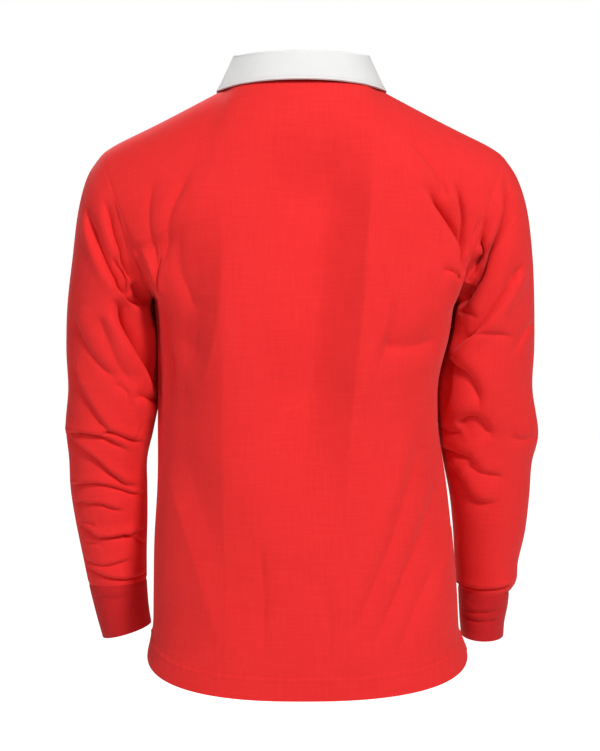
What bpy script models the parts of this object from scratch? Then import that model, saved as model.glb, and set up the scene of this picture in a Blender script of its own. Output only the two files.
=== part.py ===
"""A long-sleeved rugby shirt as separate sewn pieces. Metres, +Z up, the front faces -Y.

Each piece is a wall of cloth: a grid of outer points, a grid of inner points and a rim.
Pieces that are sewn together share one seam line and stop half a gap short of it.
"""

import math

import bmesh
import bpy
import numpy as np
from mathutils import Vector
from mathutils.bvhtree import BVHTree

NAME = "rugby_shirt"

WALL = 0.0018
COLLAR_WALL = 0.0020
PLACKET_WALL = 0.0016
SEAM_GAP = 0.0003
LONGEST_MITRE = 1.7
# Both rims at a seam are cut into triangles by this direction, so that they stay parallel.
RIM_SPLIT = (0.37, 0.73, 0.57)

LOWER_ROWS = 16
UPPER_ROWS = 12
SHOULDER_COLUMNS = 9
NECK_COLUMNS = 16
SLEEVE_ROWS = 24
CUFF_ROWS = 4

# The torso below the armholes, one row a level. Half widths are at the side seams, depths
# are at the middle, and the drops lower the middle of a level below its ends.
TORSO_COLUMNS = ("height", "left", "right", "back", "front", "back_drop", "front_drop", "power")
TORSO = (
    (-0.6660, 0.1825, 0.1960, 0.1230, 0.1160, -0.0405, -0.0140, 2.5),
    (-0.6400, 0.1775, 0.1872, 0.1230, 0.1160, -0.0340, -0.0110, 2.5),
    (-0.6070, 0.1768, 0.1855, 0.1220, 0.1160, -0.0250, -0.0090, 2.5),
    (-0.5360, 0.1758, 0.1800, 0.1190, 0.1170, -0.0150, -0.0080, 2.5),
    (-0.4640, 0.1718, 0.1722, 0.1170, 0.1180, -0.0120, -0.0110, 2.5),
    (-0.3900, 0.1716, 0.1620, 0.1180, 0.1210, -0.0210, -0.0210, 2.5),
    (-0.3330, 0.1714, 0.1625, 0.1215, 0.1245, -0.0350, -0.0350, 2.6),
    (-0.2850, 0.1728, 0.1755, 0.1248, 0.1270, -0.0450, -0.0450, 2.8),
    (-0.2470, 0.1758, 0.1792, 0.1260, 0.1280, -0.0500, -0.0500, 3.0),
)
COLUMN_POWER = 2.5
DROP_POWER = 2.4

# Each armhole is a tilted oval from the armpit up to the shoulder tip.
ARMHOLE_COLUMNS = ("tip_x", "tip_z", "pit_x", "pit_z", "depth", "tuck")
ARMHOLE = {
    "left": (0.2363, -0.0765, 0.1758, -0.2470, 0.072, 0.010),
    "right": (-0.2382, -0.0785, -0.1792, -0.2470, 0.072, -0.010),
}

CHEST_POWER = 2.2
CHEST_ROUNDING = 1.2
RIDGE_POWER = 3.0
ARMPIT_SHARPNESS = 10.0
UPPER_BACK = 0.113
UPPER_CHEST = 0.118

NECK_HALF_WIDTH = 0.080
NECK_SIDE_HEIGHT = 0.006
NECK_BACK_HEIGHT = 0.010
SHOULDER_BUMP = 0.08
NECK_DEPTH = {"back": 0.062, "front": -0.085}

VENT_TOP = -0.6290
VENT_OPENING = 0.0035
FRONT_CORNER_FLARE = {"left": -0.001, "right": -0.0015}

# Rings of each sleeve from the armhole to the cuff, and of each cuff. The outer point is on
# the far side from the body, the inner point faces it. Depth is half the front-to-back size.
# The hug is how far the sleeve bulges towards the body in front of its inner point.
RING_COLUMNS = ("outer_x", "outer_z", "inner_x", "inner_z", "depth", "centre_y", "tilt", "hug")
SLEEVE = {
    "left": (
        (0.2363, -0.0765, 0.1758, -0.2470, 0.0720, 0.000, 0, 0.000),
        (0.2540, -0.1040, 0.1795, -0.2530, 0.0710, 0.000, 0, 0.003),
        (0.2650, -0.1450, 0.1792, -0.2640, 0.0690, 0.000, 0, 0.007),
        (0.2720, -0.2000, 0.1756, -0.2830, 0.0660, -0.001, 0, 0.010),
        (0.2785, -0.2550, 0.1730, -0.3100, 0.0620, -0.004, 0, 0.010),
        (0.2805, -0.3080, 0.1727, -0.3450, 0.0580, -0.008, 2, 0.010),
        (0.2790, -0.3550, 0.1732, -0.3750, 0.0550, -0.014, 4, 0.009),
        (0.2830, -0.3980, 0.1785, -0.4060, 0.0520, -0.021, 6, 0.005),
        (0.2800, -0.4380, 0.1860, -0.4400, 0.0480, -0.029, 8, 0.001),
        (0.2790, -0.4760, 0.1865, -0.4750, 0.0450, -0.037, 8, 0.000),
        (0.2740, -0.5150, 0.1870, -0.5100, 0.0420, -0.045, 7, 0.000),
        (0.2665, -0.5570, 0.1885, -0.5500, 0.0390, -0.053, 6, 0.000),
        (0.2600, -0.5930, 0.1890, -0.5880, 0.0360, -0.060, 5, 0.000),
    ),
    "right": (
        (-0.2382, -0.0785, -0.1792, -0.2470, 0.0720, 0.000, 0, 0.000),
        (-0.2560, -0.1060, -0.1832, -0.2530, 0.0710, 0.000, 0, 0.003),
        (-0.2680, -0.1450, -0.1828, -0.2650, 0.0690, 0.000, 0, 0.007),
        (-0.2745, -0.2000, -0.1786, -0.2840, 0.0660, -0.001, 0, 0.010),
        (-0.2770, -0.2550, -0.1715, -0.3130, 0.0620, -0.004, 0, 0.010),
        (-0.2775, -0.3080, -0.1648, -0.3420, 0.0580, -0.008, 2, 0.010),
        (-0.2762, -0.3550, -0.1640, -0.3730, 0.0550, -0.014, 4, 0.010),
        (-0.2845, -0.4080, -0.1660, -0.4080, 0.0510, -0.024, 7, 0.008),
        (-0.2775, -0.4450, -0.1718, -0.4450, 0.0480, -0.031, 9, 0.006),
        (-0.2755, -0.4850, -0.1795, -0.4850, 0.0450, -0.039, 10, 0.002),
        (-0.2715, -0.5280, -0.1840, -0.5250, 0.0420, -0.048, 10, 0.000),
        (-0.2640, -0.5650, -0.1865, -0.5600, 0.0395, -0.055, 10, 0.000),
        (-0.2625, -0.5880, -0.1890, -0.5830, 0.0385, -0.060, 10, 0.000),
        (-0.2540, -0.6020, -0.1915, -0.5960, 0.0350, -0.0625, 10, 0.000),
    ),
}
HUG_ANGLE = math.radians(317)
HUG_SPREAD = math.radians(25)
CUFF = {
    "left": (
        (0.2600, -0.5930, 0.1890, -0.5880, 0.0360, -0.060, 5, 0.000),
        (0.2560, -0.6120, 0.1885, -0.6050, 0.0345, -0.064, 5, 0.000),
        (0.2500, -0.6370, 0.1870, -0.6250, 0.0340, -0.068, 5, 0.000),
        (0.2440, -0.6600, 0.1845, -0.6430, 0.0335, -0.072, 5, 0.000),
    ),
    "right": (
        (-0.2540, -0.6020, -0.1915, -0.5960, 0.0350, -0.0625, 10, 0.000),
        (-0.2525, -0.6200, -0.1925, -0.6150, 0.0340, -0.066, 10, 0.000),
        (-0.2490, -0.6400, -0.1940, -0.6370, 0.0335, -0.070, 10, 0.000),
        (-0.2480, -0.6570, -0.1960, -0.6570, 0.0330, -0.073, 10, 0.000),
    ),
}

# The collar at stations round the neck, from the middle of the front to the middle of the
# back. It stands up from the neck seam, leans in, turns over and lies out on the body. The
# leaf reaches out level, falls by its slope and is turned sideways by its splay.
COLLAR_COLUMNS = ("station", "stand", "lean", "reach", "slope", "splay", "clear")
COLLAR = (
    (0.00, 0.0180, 0.0060, 0.034, 52, 50, 0.0042),
    (0.15, 0.0205, 0.0060, 0.028, 46, 28, 0.0040),
    (0.30, 0.0250, 0.0050, 0.023, 40, 10, 0.0030),
    (0.58, 0.0320, 0.0025, 0.0195, 34, 0, 0.0013),
    (0.75, 0.0275, 0.0035, 0.0215, 36, 0, 0.0013),
    (1.00, 0.0246, 0.0040, 0.0230, 31, 0, 0.0013),
)
COLLAR_TURN = 0.0036
LEAF_LIFT = 0.0035
TORSO_MIDDLE = Vector((0.0, 0.0, -0.3))

SLIT_HALF_WIDTH = 0.004
SLIT_ROWS = 8
PLACKET_HALF_WIDTH = 0.016
PLACKET_COLUMNS = 5
PLACKET_TOP = 0.955
PLACKET_BOTTOM = 0.27
PLACKET_GAP = 0.0005

BUTTON_RADIUS = 0.0065
BUTTON_HEIGHT = 0.0030
BUTTON_RIM = 0.0014
BUTTON_DISH = 0.0010
BUTTON_SIDES = 24
BUTTON_HEIGHTS = (-0.084, -0.140, -0.196)

# The largest folds, placed where the back view shows them. Each runs from its start to its
# end with a bow to one side, and has a soft ridge beside it.
FOLD_COLUMNS = ("x0", "z0", "x1", "z1", "bow", "width", "depth", "ridge")
FOLDS = {
    "back": (
        (-0.052, -0.100, -0.060, -0.560, 0.004, 0.026, 0.0045, 0.0020),
        (0.118, -0.130, 0.092, -0.400, 0.010, 0.026, 0.0050, 0.0025),
        (0.160, -0.440, 0.090, -0.680, 0.004, 0.022, 0.0030, 0.0015),
        (-0.135, -0.100, -0.178, -0.235, 0.006, 0.024, 0.0040, 0.0020),
        (-0.070, -0.590, -0.085, -0.690, 0.000, 0.020, 0.0030, 0.0015),
    ),
    "left": (
        (0.246, -0.165, 0.195, -0.262, 0.006, 0.013, 0.0035, 0.0020),
        (0.228, -0.155, 0.184, -0.245, 0.006, 0.012, 0.0030, 0.0020),
        (0.215, -0.255, 0.174, -0.370, 0.002, 0.016, 0.0045, 0.0025),
        (0.262, -0.345, 0.205, -0.415, 0.006, 0.016, 0.0030, 0.0020),
        (0.272, -0.405, 0.195, -0.430, 0.002, 0.013, 0.0045, 0.0025),
        (0.262, -0.470, 0.192, -0.487, 0.003, 0.013, 0.0030, 0.0020),
        (0.262, -0.525, 0.196, -0.528, -0.006, 0.012, 0.0025, 0.0015),
        (0.250, -0.570, 0.196, -0.566, 0.000, 0.009, 0.0020, 0.0010),
    ),
    "right": (
        (-0.246, -0.145, -0.186, -0.250, 0.006, 0.014, 0.0030, 0.0020),
        (-0.258, -0.212, -0.180, -0.320, -0.006, 0.017, 0.0040, 0.0020),
        (-0.205, -0.300, -0.180, -0.380, 0.006, 0.016, 0.0040, 0.0020),
        (-0.176, -0.405, -0.226, -0.412, -0.012, 0.013, 0.0040, 0.0020),
        (-0.178, -0.440, -0.218, -0.478, 0.003, 0.013, 0.0030, 0.0015),
    ),
}
FOLD_STEPS = 12
FOLD_FADE = 0.25
SEAM_FADE = 0.022
FACES_BACK = 0.1
FACES_BACK = 0.1

RED = (0.62, 0.02, 0.03, 1.0)
WHITE = (0.80, 0.80, 0.78, 1.0)
RUBBER = (0.72, 0.72, 0.70, 1.0)


def column(table, names, name):
    """One named column of a table."""
    return np.array([row[names.index(name)] for row in table], float)


def through(knots, values, at):
    """A smooth curve through table values, at any places between the knots."""
    slopes = np.gradient(values, knots)
    low = np.clip(np.searchsorted(knots, at, side="right") - 1, 0, len(knots) - 2)
    step = knots[low + 1] - knots[low]
    t = (at - knots[low]) / step
    start = (2 * t**3 - 3 * t**2 + 1) * values[low]
    end = (3 * t**2 - 2 * t**3) * values[low + 1]
    leave = (t**3 - 2 * t**2 + t) * step * slopes[low]
    arrive = (t**3 - t**2) * step * slopes[low + 1]
    return start + leave + end + arrive


def smoothstep(value):
    """An even ramp from 0 to 1."""
    t = np.clip(value, 0.0, 1.0)
    return t * t * (3.0 - 2.0 * t)


def unit(vectors):
    """The vectors at length one."""
    return vectors / np.maximum(np.linalg.norm(vectors, axis=-1, keepdims=True), 1e-12)


def armhole_point(side, angle):
    """Points of an armhole, from the armpit at 0 by the back to the shoulder tip at pi."""
    tip_x, tip_z, pit_x, pit_z, depth, tuck = ARMHOLE[side]
    rise = (1.0 - np.cos(angle)) / 2.0
    x = pit_x + (tip_x - pit_x) * rise + tuck * np.sqrt(rise) * (1.0 - rise) ** 4
    z = pit_z + (tip_z - pit_z) * rise
    return np.stack([x, depth * np.sin(angle), z], axis=-1)


def lower_levels(face, heights, across):
    """The torso below the armpits. Across runs from +1 at the left seam to -1."""
    knots = column(TORSO, TORSO_COLUMNS, "height")
    read = {
        name: through(knots, column(TORSO, TORSO_COLUMNS, name), heights)[:, None]
        for name in TORSO_COLUMNS
    }
    part = np.abs(across)[None, :]
    x = np.where(across[None, :] > 0.0, read["left"], read["right"]) * across[None, :]
    y = read[face] * (1.0 - part ** read["power"]) ** (1.0 / read["power"])
    drop = read[face + "_drop"] * (1.0 - part**DROP_POWER) ** (1.0 / DROP_POWER)
    z = heights[:, None] + drop
    y = y if face == "back" else -y
    return np.stack([x, y, z], axis=-1)


def neckline(face, angle):
    """A neckline point, from the left shoulder seam at 0 to the right one at pi."""
    x = NECK_HALF_WIDTH * math.cos(angle)
    y = NECK_DEPTH[face] * math.sin(angle)
    if face == "back":
        return x, y, NECK_SIDE_HEIGHT + (NECK_BACK_HEIGHT - NECK_SIDE_HEIGHT) * math.sin(angle)
    pit = TORSO[-1][0]
    level = (1.0 - (y / UPPER_CHEST) ** 2) ** (1.0 / RIDGE_POWER)
    return x, y, pit + (NECK_SIDE_HEIGHT - pit) * level


def shoulder_line(side, share):
    """A point of a shoulder seam, from the tip at 0 to the neck at 1."""
    tip_x, tip_z = ARMHOLE[side][:2]
    neck_x = math.copysign(NECK_HALF_WIDTH, tip_x)
    bump = SHOULDER_BUMP * share * math.exp(-share / 0.1)
    z = tip_z + (NECK_SIDE_HEIGHT - tip_z) * share + bump
    return tip_x + (neck_x - tip_x) * share, 0.0, z


def top_line(face, columns):
    """The shoulder seams and the neckline between them."""
    edge = SHOULDER_COLUMNS / (2 * SHOULDER_COLUMNS + NECK_COLUMNS)
    points = []
    for place in columns:
        if place < edge:
            points.append(shoulder_line("left", place / edge))
        elif place > 1.0 - edge:
            points.append(shoulder_line("right", (1.0 - place) / edge))
        else:
            points.append(neckline(face, math.pi * (place - edge) / (1.0 - 2.0 * edge)))
    return np.array(points)


def upper_levels(face, climb, across, columns):
    """The torso from the armpits, where climb is 0, to the shoulder seams, where it is 1."""
    angle = math.pi * climb
    left = armhole_point("left", angle)
    right = armhole_point("right", angle)
    if face == "front":
        left[:, 1] *= -1.0
        right[:, 1] *= -1.0
    rise = ((1.0 - np.cos(angle)) / 2.0)[:, None]
    top = top_line(face, columns)[None, :, :]
    ends = np.where(across[None, :, None] > 0.0, left[:, None, :], right[:, None, :])
    tips = np.where(across[None, :, None] > 0.0, left[-1], right[-1])
    blend = rise**1.5
    x = (1.0 - blend) * np.abs(across)[None, :] * ends[..., 0]
    x = x + blend * top[..., 0] * ends[..., 0] / tips[..., 0]
    part = np.clip(np.abs(x / ends[..., 0]), 0.0, 1.0)

    turn = smoothstep(rise / 0.5)
    low_power = column(TORSO, TORSO_COLUMNS, "power")[-1]
    power = low_power + (CHEST_POWER - low_power) * turn
    rounding = low_power + (CHEST_ROUNDING - low_power) * turn
    swell = (1.0 - part**power) ** (1.0 / rounding)
    sign = 1.0 if face == "back" else -1.0
    low_depth = column(TORSO, TORSO_COLUMNS, face)[-1]
    high_depth = UPPER_BACK if face == "back" else UPPER_CHEST
    depth = sign * (low_depth + (high_depth - low_depth) * smoothstep(rise))
    ridge = 1.0 - np.sqrt(1.0 - rise**RIDGE_POWER)
    sharp = ARMPIT_SHARPNESS * (1.0 + 2.0 * (1.0 - smoothstep(rise / 0.2)))
    near_edge = turn * (1.0 - swell) + (1.0 - turn) * part**sharp
    y = ends[..., 1] * near_edge + (1.0 - ridge) * depth * swell + ridge * top[..., 1]

    low_drop = column(TORSO, TORSO_COLUMNS, face + "_drop")[-1]
    drop = low_drop * (1.0 - part**DROP_POWER) ** (1.0 / DROP_POWER)
    z = ends[..., 2] + drop * (1.0 - rise) ** 1.5 + (top[..., 2] - tips[..., 2]) * rise
    return np.stack([x, y, z], axis=-1)


def column_places(face):
    """Where the columns of a torso piece stand, from 0 at the left seam to 1."""
    count = 2 * SHOULDER_COLUMNS + NECK_COLUMNS
    places = np.arange(count + 1) / count
    if face == "back":
        return places
    middle = count // 2
    return np.concatenate([places[:middle], [0.4999, 0.5001], places[middle + 1 :]])


def torso_piece(face):
    """The outer grid of the back or the front, rows from the hem to the shoulders."""
    columns = column_places(face)
    turn = np.cos(math.pi * columns)
    across = np.sign(turn) * np.abs(turn) ** (2.0 / COLUMN_POWER)
    hem = TORSO[0][0]
    pit = TORSO[-1][0]
    heights = hem + (pit - hem) * np.arange(LOWER_ROWS) / LOWER_ROWS
    climb = np.arange(UPPER_ROWS + 1) / UPPER_ROWS
    lower = lower_levels(face, heights, across)
    upper = upper_levels(face, climb, across, columns)
    points = np.concatenate([lower, upper])
    if face == "front":
        middle = points.shape[1] // 2
        points[:, middle - 1, 0] = SLIT_HALF_WIDTH
        points[:, middle, 0] = -SLIT_HALF_WIDTH
    return points


def open_vents(points, face):
    """Parts the side edges below the vents."""
    sign = 1.0 if face == "back" else -1.0
    hem = TORSO[0][0]
    for end in (0, -1):
        height = points[: LOWER_ROWS + 1, end, 2]
        below = np.clip((VENT_TOP - height) / (VENT_TOP - hem), 0.0, 1.0)
        points[: LOWER_ROWS + 1, end, 1] += sign * VENT_OPENING * np.sqrt(below)
        if face == "front":
            flare = FRONT_CORNER_FLARE["left" if end == 0 else "right"]
            points[: LOWER_ROWS + 1, end, 0] += flare * below


def rings(table, rows, around):
    """Rings through a table, each starting underneath and going round by the back."""
    knots = np.arange(len(table), dtype=float)
    at = np.linspace(0.0, len(table) - 1.0, rows + 1)
    read = {
        name: through(knots, column(table, RING_COLUMNS, name), at)[:, None]
        for name in RING_COLUMNS
    }
    angle = 2.0 * math.pi * np.arange(around)[None, :] / around
    share = (1.0 - np.cos(angle)) / 2.0
    tilt = np.radians(read["tilt"])
    side = read["depth"] * np.sin(angle)
    from_hug = (angle - HUG_ANGLE + math.pi) % (2.0 * math.pi) - math.pi
    bulge = np.sign(read["inner_x"]) * read["hug"] * np.exp(-((from_hug / HUG_SPREAD) ** 2))
    x = read["inner_x"] + (read["outer_x"] - read["inner_x"]) * share - bulge
    y = read["centre_y"] + side * np.cos(tilt)
    z = read["inner_z"] + (read["outer_z"] - read["inner_z"]) * share - side * np.sin(tilt)
    return np.stack([x, y, z], axis=-1)


def seam_ring(pieces, side):
    """The armhole points in the order of a sleeve ring, read from the torso pieces."""
    end = 0 if side == "left" else -1
    back = pieces["body_back"].points[LOWER_ROWS:, end]
    front = pieces["body_front"].points[LOWER_ROWS:, end]
    return np.concatenate([back, front[-2:0:-1]])


class Piece:
    """A sheet of cloth as a grid of outer points, with what its seams do to it."""

    def __init__(self, points, wraps=False, of_torso=False):
        self.points = points
        self.wraps = wraps
        self.of_torso = of_torso
        self.normals = None
        self.shift = np.zeros_like(points)
        self.reach = np.ones(points.shape[:2])

    def find_normals(self):
        """Outward normals from the neighbours of each point."""
        down = np.gradient(self.points, axis=0)
        if self.wraps:
            along = np.roll(self.points, -1, axis=1) - np.roll(self.points, 1, axis=1)
        else:
            along = np.gradient(self.points, axis=1)
        normals = unit(np.cross(along, down))
        from_middle = self.points[0] - self.points[0].mean(axis=0)
        if np.sum(normals[0] * from_middle) < 0.0:
            normals = -normals
        self.normals = normals


def share_normals(pieces):
    """Gives each point that several pieces hold one normal and one mitre length."""
    found = {}
    for piece in pieces.values():
        for place in border(piece):
            key = piece.points[place].tobytes()
            found.setdefault(key, []).append((piece, place))
    for holders in found.values():
        if len(holders) < 2:
            continue
        torso = [held.normals[place] for held, place in holders if held.of_torso]
        others = [held.normals[place] for held, place in holders if not held.of_torso]
        sides = others + ([unit(sum(torso))] if torso and others else torso)
        total = sum(sides)
        length = np.linalg.norm(total)
        for piece, place in holders:
            piece.normals[place] = total / length
            piece.reach[place] = min(len(sides) / length, LONGEST_MITRE)


def border(piece):
    """The places of a grid's outer rows and columns."""
    rows, columns = piece.points.shape[:2]
    places = {(row, col) for row in (0, rows - 1) for col in range(columns)}
    if not piece.wraps:
        places |= {(row, col) for col in (0, columns - 1) for row in range(rows)}
    return sorted(places)


def pull_back(pieces, holders, closed=False):
    """Moves the pieces of one seam half a gap back from it, each into itself."""
    name, places = holders[0]
    line = np.array([pieces[name].points[place] for place in places])
    normals = np.array([pieces[name].normals[place] for place in places])
    if closed:
        tangent = np.roll(line, -1, axis=0) - np.roll(line, 1, axis=0)
    else:
        tangent = np.gradient(line, axis=0)
    aside = unit(np.cross(unit(tangent), normals))
    for name, places in holders:
        piece = pieces[name]
        inside = np.array([inner_neighbour(piece, place) for place in places])
        sign = np.sign(np.sum(aside * (inside - line)))
        for place, step in zip(places, aside):
            piece.shift[place] += sign * step * SEAM_GAP / 2.0


def inner_neighbour(piece, place):
    """The point next to a border point, inside the grid."""
    rows, columns = piece.points.shape[:2]
    row = min(max(place[0], 1), rows - 2)
    col = place[1] if piece.wraps else min(max(place[1], 1), columns - 2)
    return piece.points[row, col]


def side_seam(end):
    """The places of a side seam above its vent."""
    hem = TORSO[0][0]
    pit = TORSO[-1][0]
    first = math.ceil((VENT_TOP - hem) / (pit - hem) * LOWER_ROWS)
    return [(row, end) for row in range(first, LOWER_ROWS + 1)]


def last_column(piece):
    """The number of a grid's last column."""
    return piece.points.shape[1] - 1


def armhole_places(end):
    """The places of an armhole in a torso piece, from the armpit to the shoulder tip."""
    return [(row, end) for row in range(LOWER_ROWS, LOWER_ROWS + UPPER_ROWS + 1)]


def join_side_seams(pieces):
    """The side seams, from the vents up to the armpits."""
    for left in (True, False):
        holders = []
        for name in ("body_back", "body_front"):
            end = 0 if left else last_column(pieces[name])
            holders.append((name, side_seam(end)))
        pull_back(pieces, holders)


def join_shoulders(pieces):
    """The shoulder seams, from the tips to the neck."""
    top = LOWER_ROWS + UPPER_ROWS
    for left in (True, False):
        holders = []
        for name in ("body_back", "body_front"):
            last = last_column(pieces[name])
            places = [
                (top, step if left else last - step) for step in range(SHOULDER_COLUMNS + 1)
            ]
            holders.append((name, places))
        pull_back(pieces, holders)


def join_armholes(pieces):
    """Each sleeve's first ring is sewn to the back by one half and the front by the other."""
    around = 2 * UPPER_ROWS
    for side in ("left", "right"):
        sleeve = "sleeve_" + side
        ring = [(0, col) for col in range(around)]
        pull_back(pieces, [(sleeve, ring)], closed=True)
        for name in ("body_back", "body_front"):
            end = 0 if side == "left" else last_column(pieces[name])
            turn = 1 if name == "body_back" else -1
            for step, place in enumerate(armhole_places(end)):
                col = (turn * step) % around
                pieces[name].shift[place] -= pieces[sleeve].shift[0, col]


def join_cuffs(pieces):
    """Each cuff starts where its sleeve ends."""
    for side in ("left", "right"):
        last = pieces["sleeve_" + side].points.shape[0] - 1
        around = pieces["sleeve_" + side].points.shape[1]
        holders = [
            ("sleeve_" + side, [(last, col) for col in range(around)]),
            ("cuff_" + side, [(0, col) for col in range(around)]),
        ]
        pull_back(pieces, holders, closed=True)


def fold_line(spec, seen):
    """Points along one fold, each as deep as the nearest of the points that face back."""
    x0, z0, x1, z1, bow = spec[:5]
    t = np.linspace(0.0, 1.0, FOLD_STEPS + 1)
    run = np.array([x1 - x0, z1 - z0])
    aside = np.array([-run[1], run[0]]) / np.linalg.norm(run)
    flat = np.stack([x0 + run[0] * t, z0 + run[1] * t], axis=1)
    flat = flat + aside * (bow * 4.0 * t * (1.0 - t))[:, None]
    nearest = [np.argmin(np.sum((seen[:, [0, 2]] - place) ** 2, axis=1)) for place in flat]
    return np.stack([flat[:, 0], seen[nearest, 1], flat[:, 1]], axis=1)


def fold_depth(points, line, spec):
    """How far one fold pushes each point in, less what its ridge lifts it."""
    width, depth, ridge = spec[5:8]
    best = np.full(len(points), np.inf)
    along = np.zeros(len(points))
    beside = np.zeros(len(points))
    count = len(line) - 1
    for step in range(count):
        start, run = line[step], line[step + 1] - line[step]
        t = np.clip((points - start) @ run / (run @ run), 0.0, 1.0)
        off = points - start - t[:, None] * run
        gap = np.linalg.norm(off, axis=1)
        closer = gap < best
        best[closer] = gap[closer]
        along[closer] = (step + t[closer]) / count
        cross = run[0] * off[:, 2] - run[2] * off[:, 0]
        beside[closer] = np.sign(cross[closer])
    fade = smoothstep(along / FOLD_FADE) * smoothstep((1.0 - along) / FOLD_FADE)
    trough = depth * np.exp(-((best / width) ** 2))
    lifted = ridge * np.exp(-(((best * beside - 1.6 * width) / width) ** 2))
    return fade * (trough - lifted)


def press_folds(piece, folds, seams):
    """Pushes the folds of one piece into its outer points, and leaves its seams as they are."""
    flat = piece.points.reshape(-1, 3)
    normals = piece.normals.reshape(-1, 3)
    seen = flat[normals[:, 1] > FACES_BACK]
    depth = np.zeros(len(flat))
    for spec in folds:
        depth += fold_depth(flat, fold_line(spec, seen), spec)
    near = np.full(len(flat), np.inf)
    for place in seams:
        near = np.minimum(near, np.linalg.norm(flat - place, axis=1))
    depth *= smoothstep(near / SEAM_FADE)
    piece.points = (flat - normals * depth[:, None]).reshape(piece.points.shape)


def seam_points(pieces):
    """The points that the folds leave alone: the armholes, the side seams and the cuff seams."""
    sleeves = [pieces["sleeve_left"].points, pieces["sleeve_right"].points]
    back = pieces["body_back"].points
    lines = [sleeve[0] for sleeve in sleeves] + [sleeve[-1] for sleeve in sleeves]
    lines += [back[: LOWER_ROWS + 1, 0], back[: LOWER_ROWS + 1, -1], back[-1]]
    return np.concatenate(lines)


def neck_line(pieces):
    """The neckline from the left of the slit round by the back to its right."""
    top = LOWER_ROWS + UPPER_ROWS
    front = pieces["body_front"]
    back = pieces["body_back"]
    first, last = SHOULDER_COLUMNS, last_column(front) - SHOULDER_COLUMNS
    middle = front.points.shape[1] // 2
    left = [("body_front", (top, col)) for col in range(middle - 1, first, -1)]
    rear = [("body_back", (top, col)) for col in range(first, last_column(back) - first + 1)]
    right = [("body_front", (top, col)) for col in range(last - 1, middle - 1, -1)]
    return left + rear + right


def neck_base(pieces):
    """The points of the neckline, each exactly as the body has it."""
    return np.array([pieces[name].points[place] for name, place in neck_line(pieces)])


def neck_corners(pieces):
    """Where the shoulder seams meet the neckline, as places along it."""
    first = pieces["body_front"].points.shape[1] // 2 - 1 - SHOULDER_COLUMNS
    return (first, first + NECK_COLUMNS)


def body_tree(pieces):
    """The outer points of the torso as a surface that can be measured from above."""
    corners, faces = [], []
    for name in ("body_back", "body_front"):
        grid = pieces[name].points
        rows, columns = grid.shape[:2]
        first = len(corners)
        corners.extend(Vector(point) for point in grid.reshape(-1, 3))
        for row in range(rows - 1):
            for col in range(columns - 1):
                low = first + row * columns + col
                faces.append((low, low + 1, low + columns + 1, low + columns))
    return BVHTree.FromPolygons(corners, faces)


def lay_on(rows, tree, clear):
    """Moves out the points of the leaf that would lie closer to the body than the clearance."""
    for row in rows:
        for index, point in enumerate(row):
            place, normal = tree.find_nearest(Vector(point))[:2]
            if normal.dot(place - TORSO_MIDDLE) < 0.0:
                normal = -normal
            if (Vector(point) - place).dot(normal) < clear[index]:
                row[index] = place + normal * clear[index]


def collar_piece(pieces):
    """The collar's outer side: up the stand, over the fold and down under the leaf."""
    base = neck_base(pieces)
    front = NECK_DEPTH["front"]
    station = (base[:, 1] - front) / (NECK_DEPTH["back"] - front)
    knots = column(COLLAR, COLLAR_COLUMNS, "station")
    read = {
        name: through(knots, column(COLLAR, COLLAR_COLUMNS, name), station)[:, None]
        for name in COLLAR_COLUMNS
    }
    rise = np.array([0.0, 0.0, 1.0])
    away = unit(base * np.array([1.0, 1.0, 0.0]))
    turn = np.radians(read["splay"][:, 0]) * np.sign(base[:, 0])
    flat = np.stack(
        [
            away[:, 0] * np.cos(turn) - away[:, 1] * np.sin(turn),
            away[:, 0] * np.sin(turn) + away[:, 1] * np.cos(turn),
            np.zeros(len(base)),
        ],
        axis=1,
    )
    crest = base - away * read["lean"] + rise * read["stand"]
    fall = np.tan(np.radians(read["slope"])) * read["reach"]
    leaf = base + flat * read["reach"] + rise * (LEAF_LIFT - fall)
    rows = [base + (crest - base) * share for share in (0.0, 0.33, 0.66, 0.9)]
    rows.append(crest + away * COLLAR_TURN * 0.25 + rise * 0.0010)
    rows.append(crest + away * COLLAR_TURN * 0.75 + rise * 0.0008)
    start = crest + away * COLLAR_TURN - rise * 0.0015
    leaf_rows = [start + (leaf - start) * share for share in (0.0, 0.25, 0.5, 0.75, 1.0)]
    lay_on(leaf_rows[1:], body_tree(pieces), read["clear"][:, 0])
    return np.array(rows + leaf_rows)


def join_collar(pieces):
    """The collar and the body stop half a gap short of the neckline."""
    top = LOWER_ROWS + UPPER_ROWS
    places = [(0, col) for col in range(pieces["collar"].points.shape[1])]
    pull_back(pieces, [("collar", places)])
    last = last_column(pieces["body_front"])
    corners = dict(zip(neck_corners(pieces), (SHOULDER_COLUMNS, last - SHOULDER_COLUMNS)))
    for index, (name, place) in enumerate(neck_line(pieces)):
        step = pieces["collar"].shift[0, index]
        pieces[name].shift[place] -= step
        if index in corners:
            pieces["body_front"].shift[top, corners[index]] -= step


def slit_mask(points):
    """The cells of the front that stay: all but the slit for the placket."""
    present = np.ones((points.shape[0] - 1, points.shape[1] - 1), bool)
    middle = points.shape[1] // 2
    present[-SLIT_ROWS:, middle - 1] = False
    return present


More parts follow.
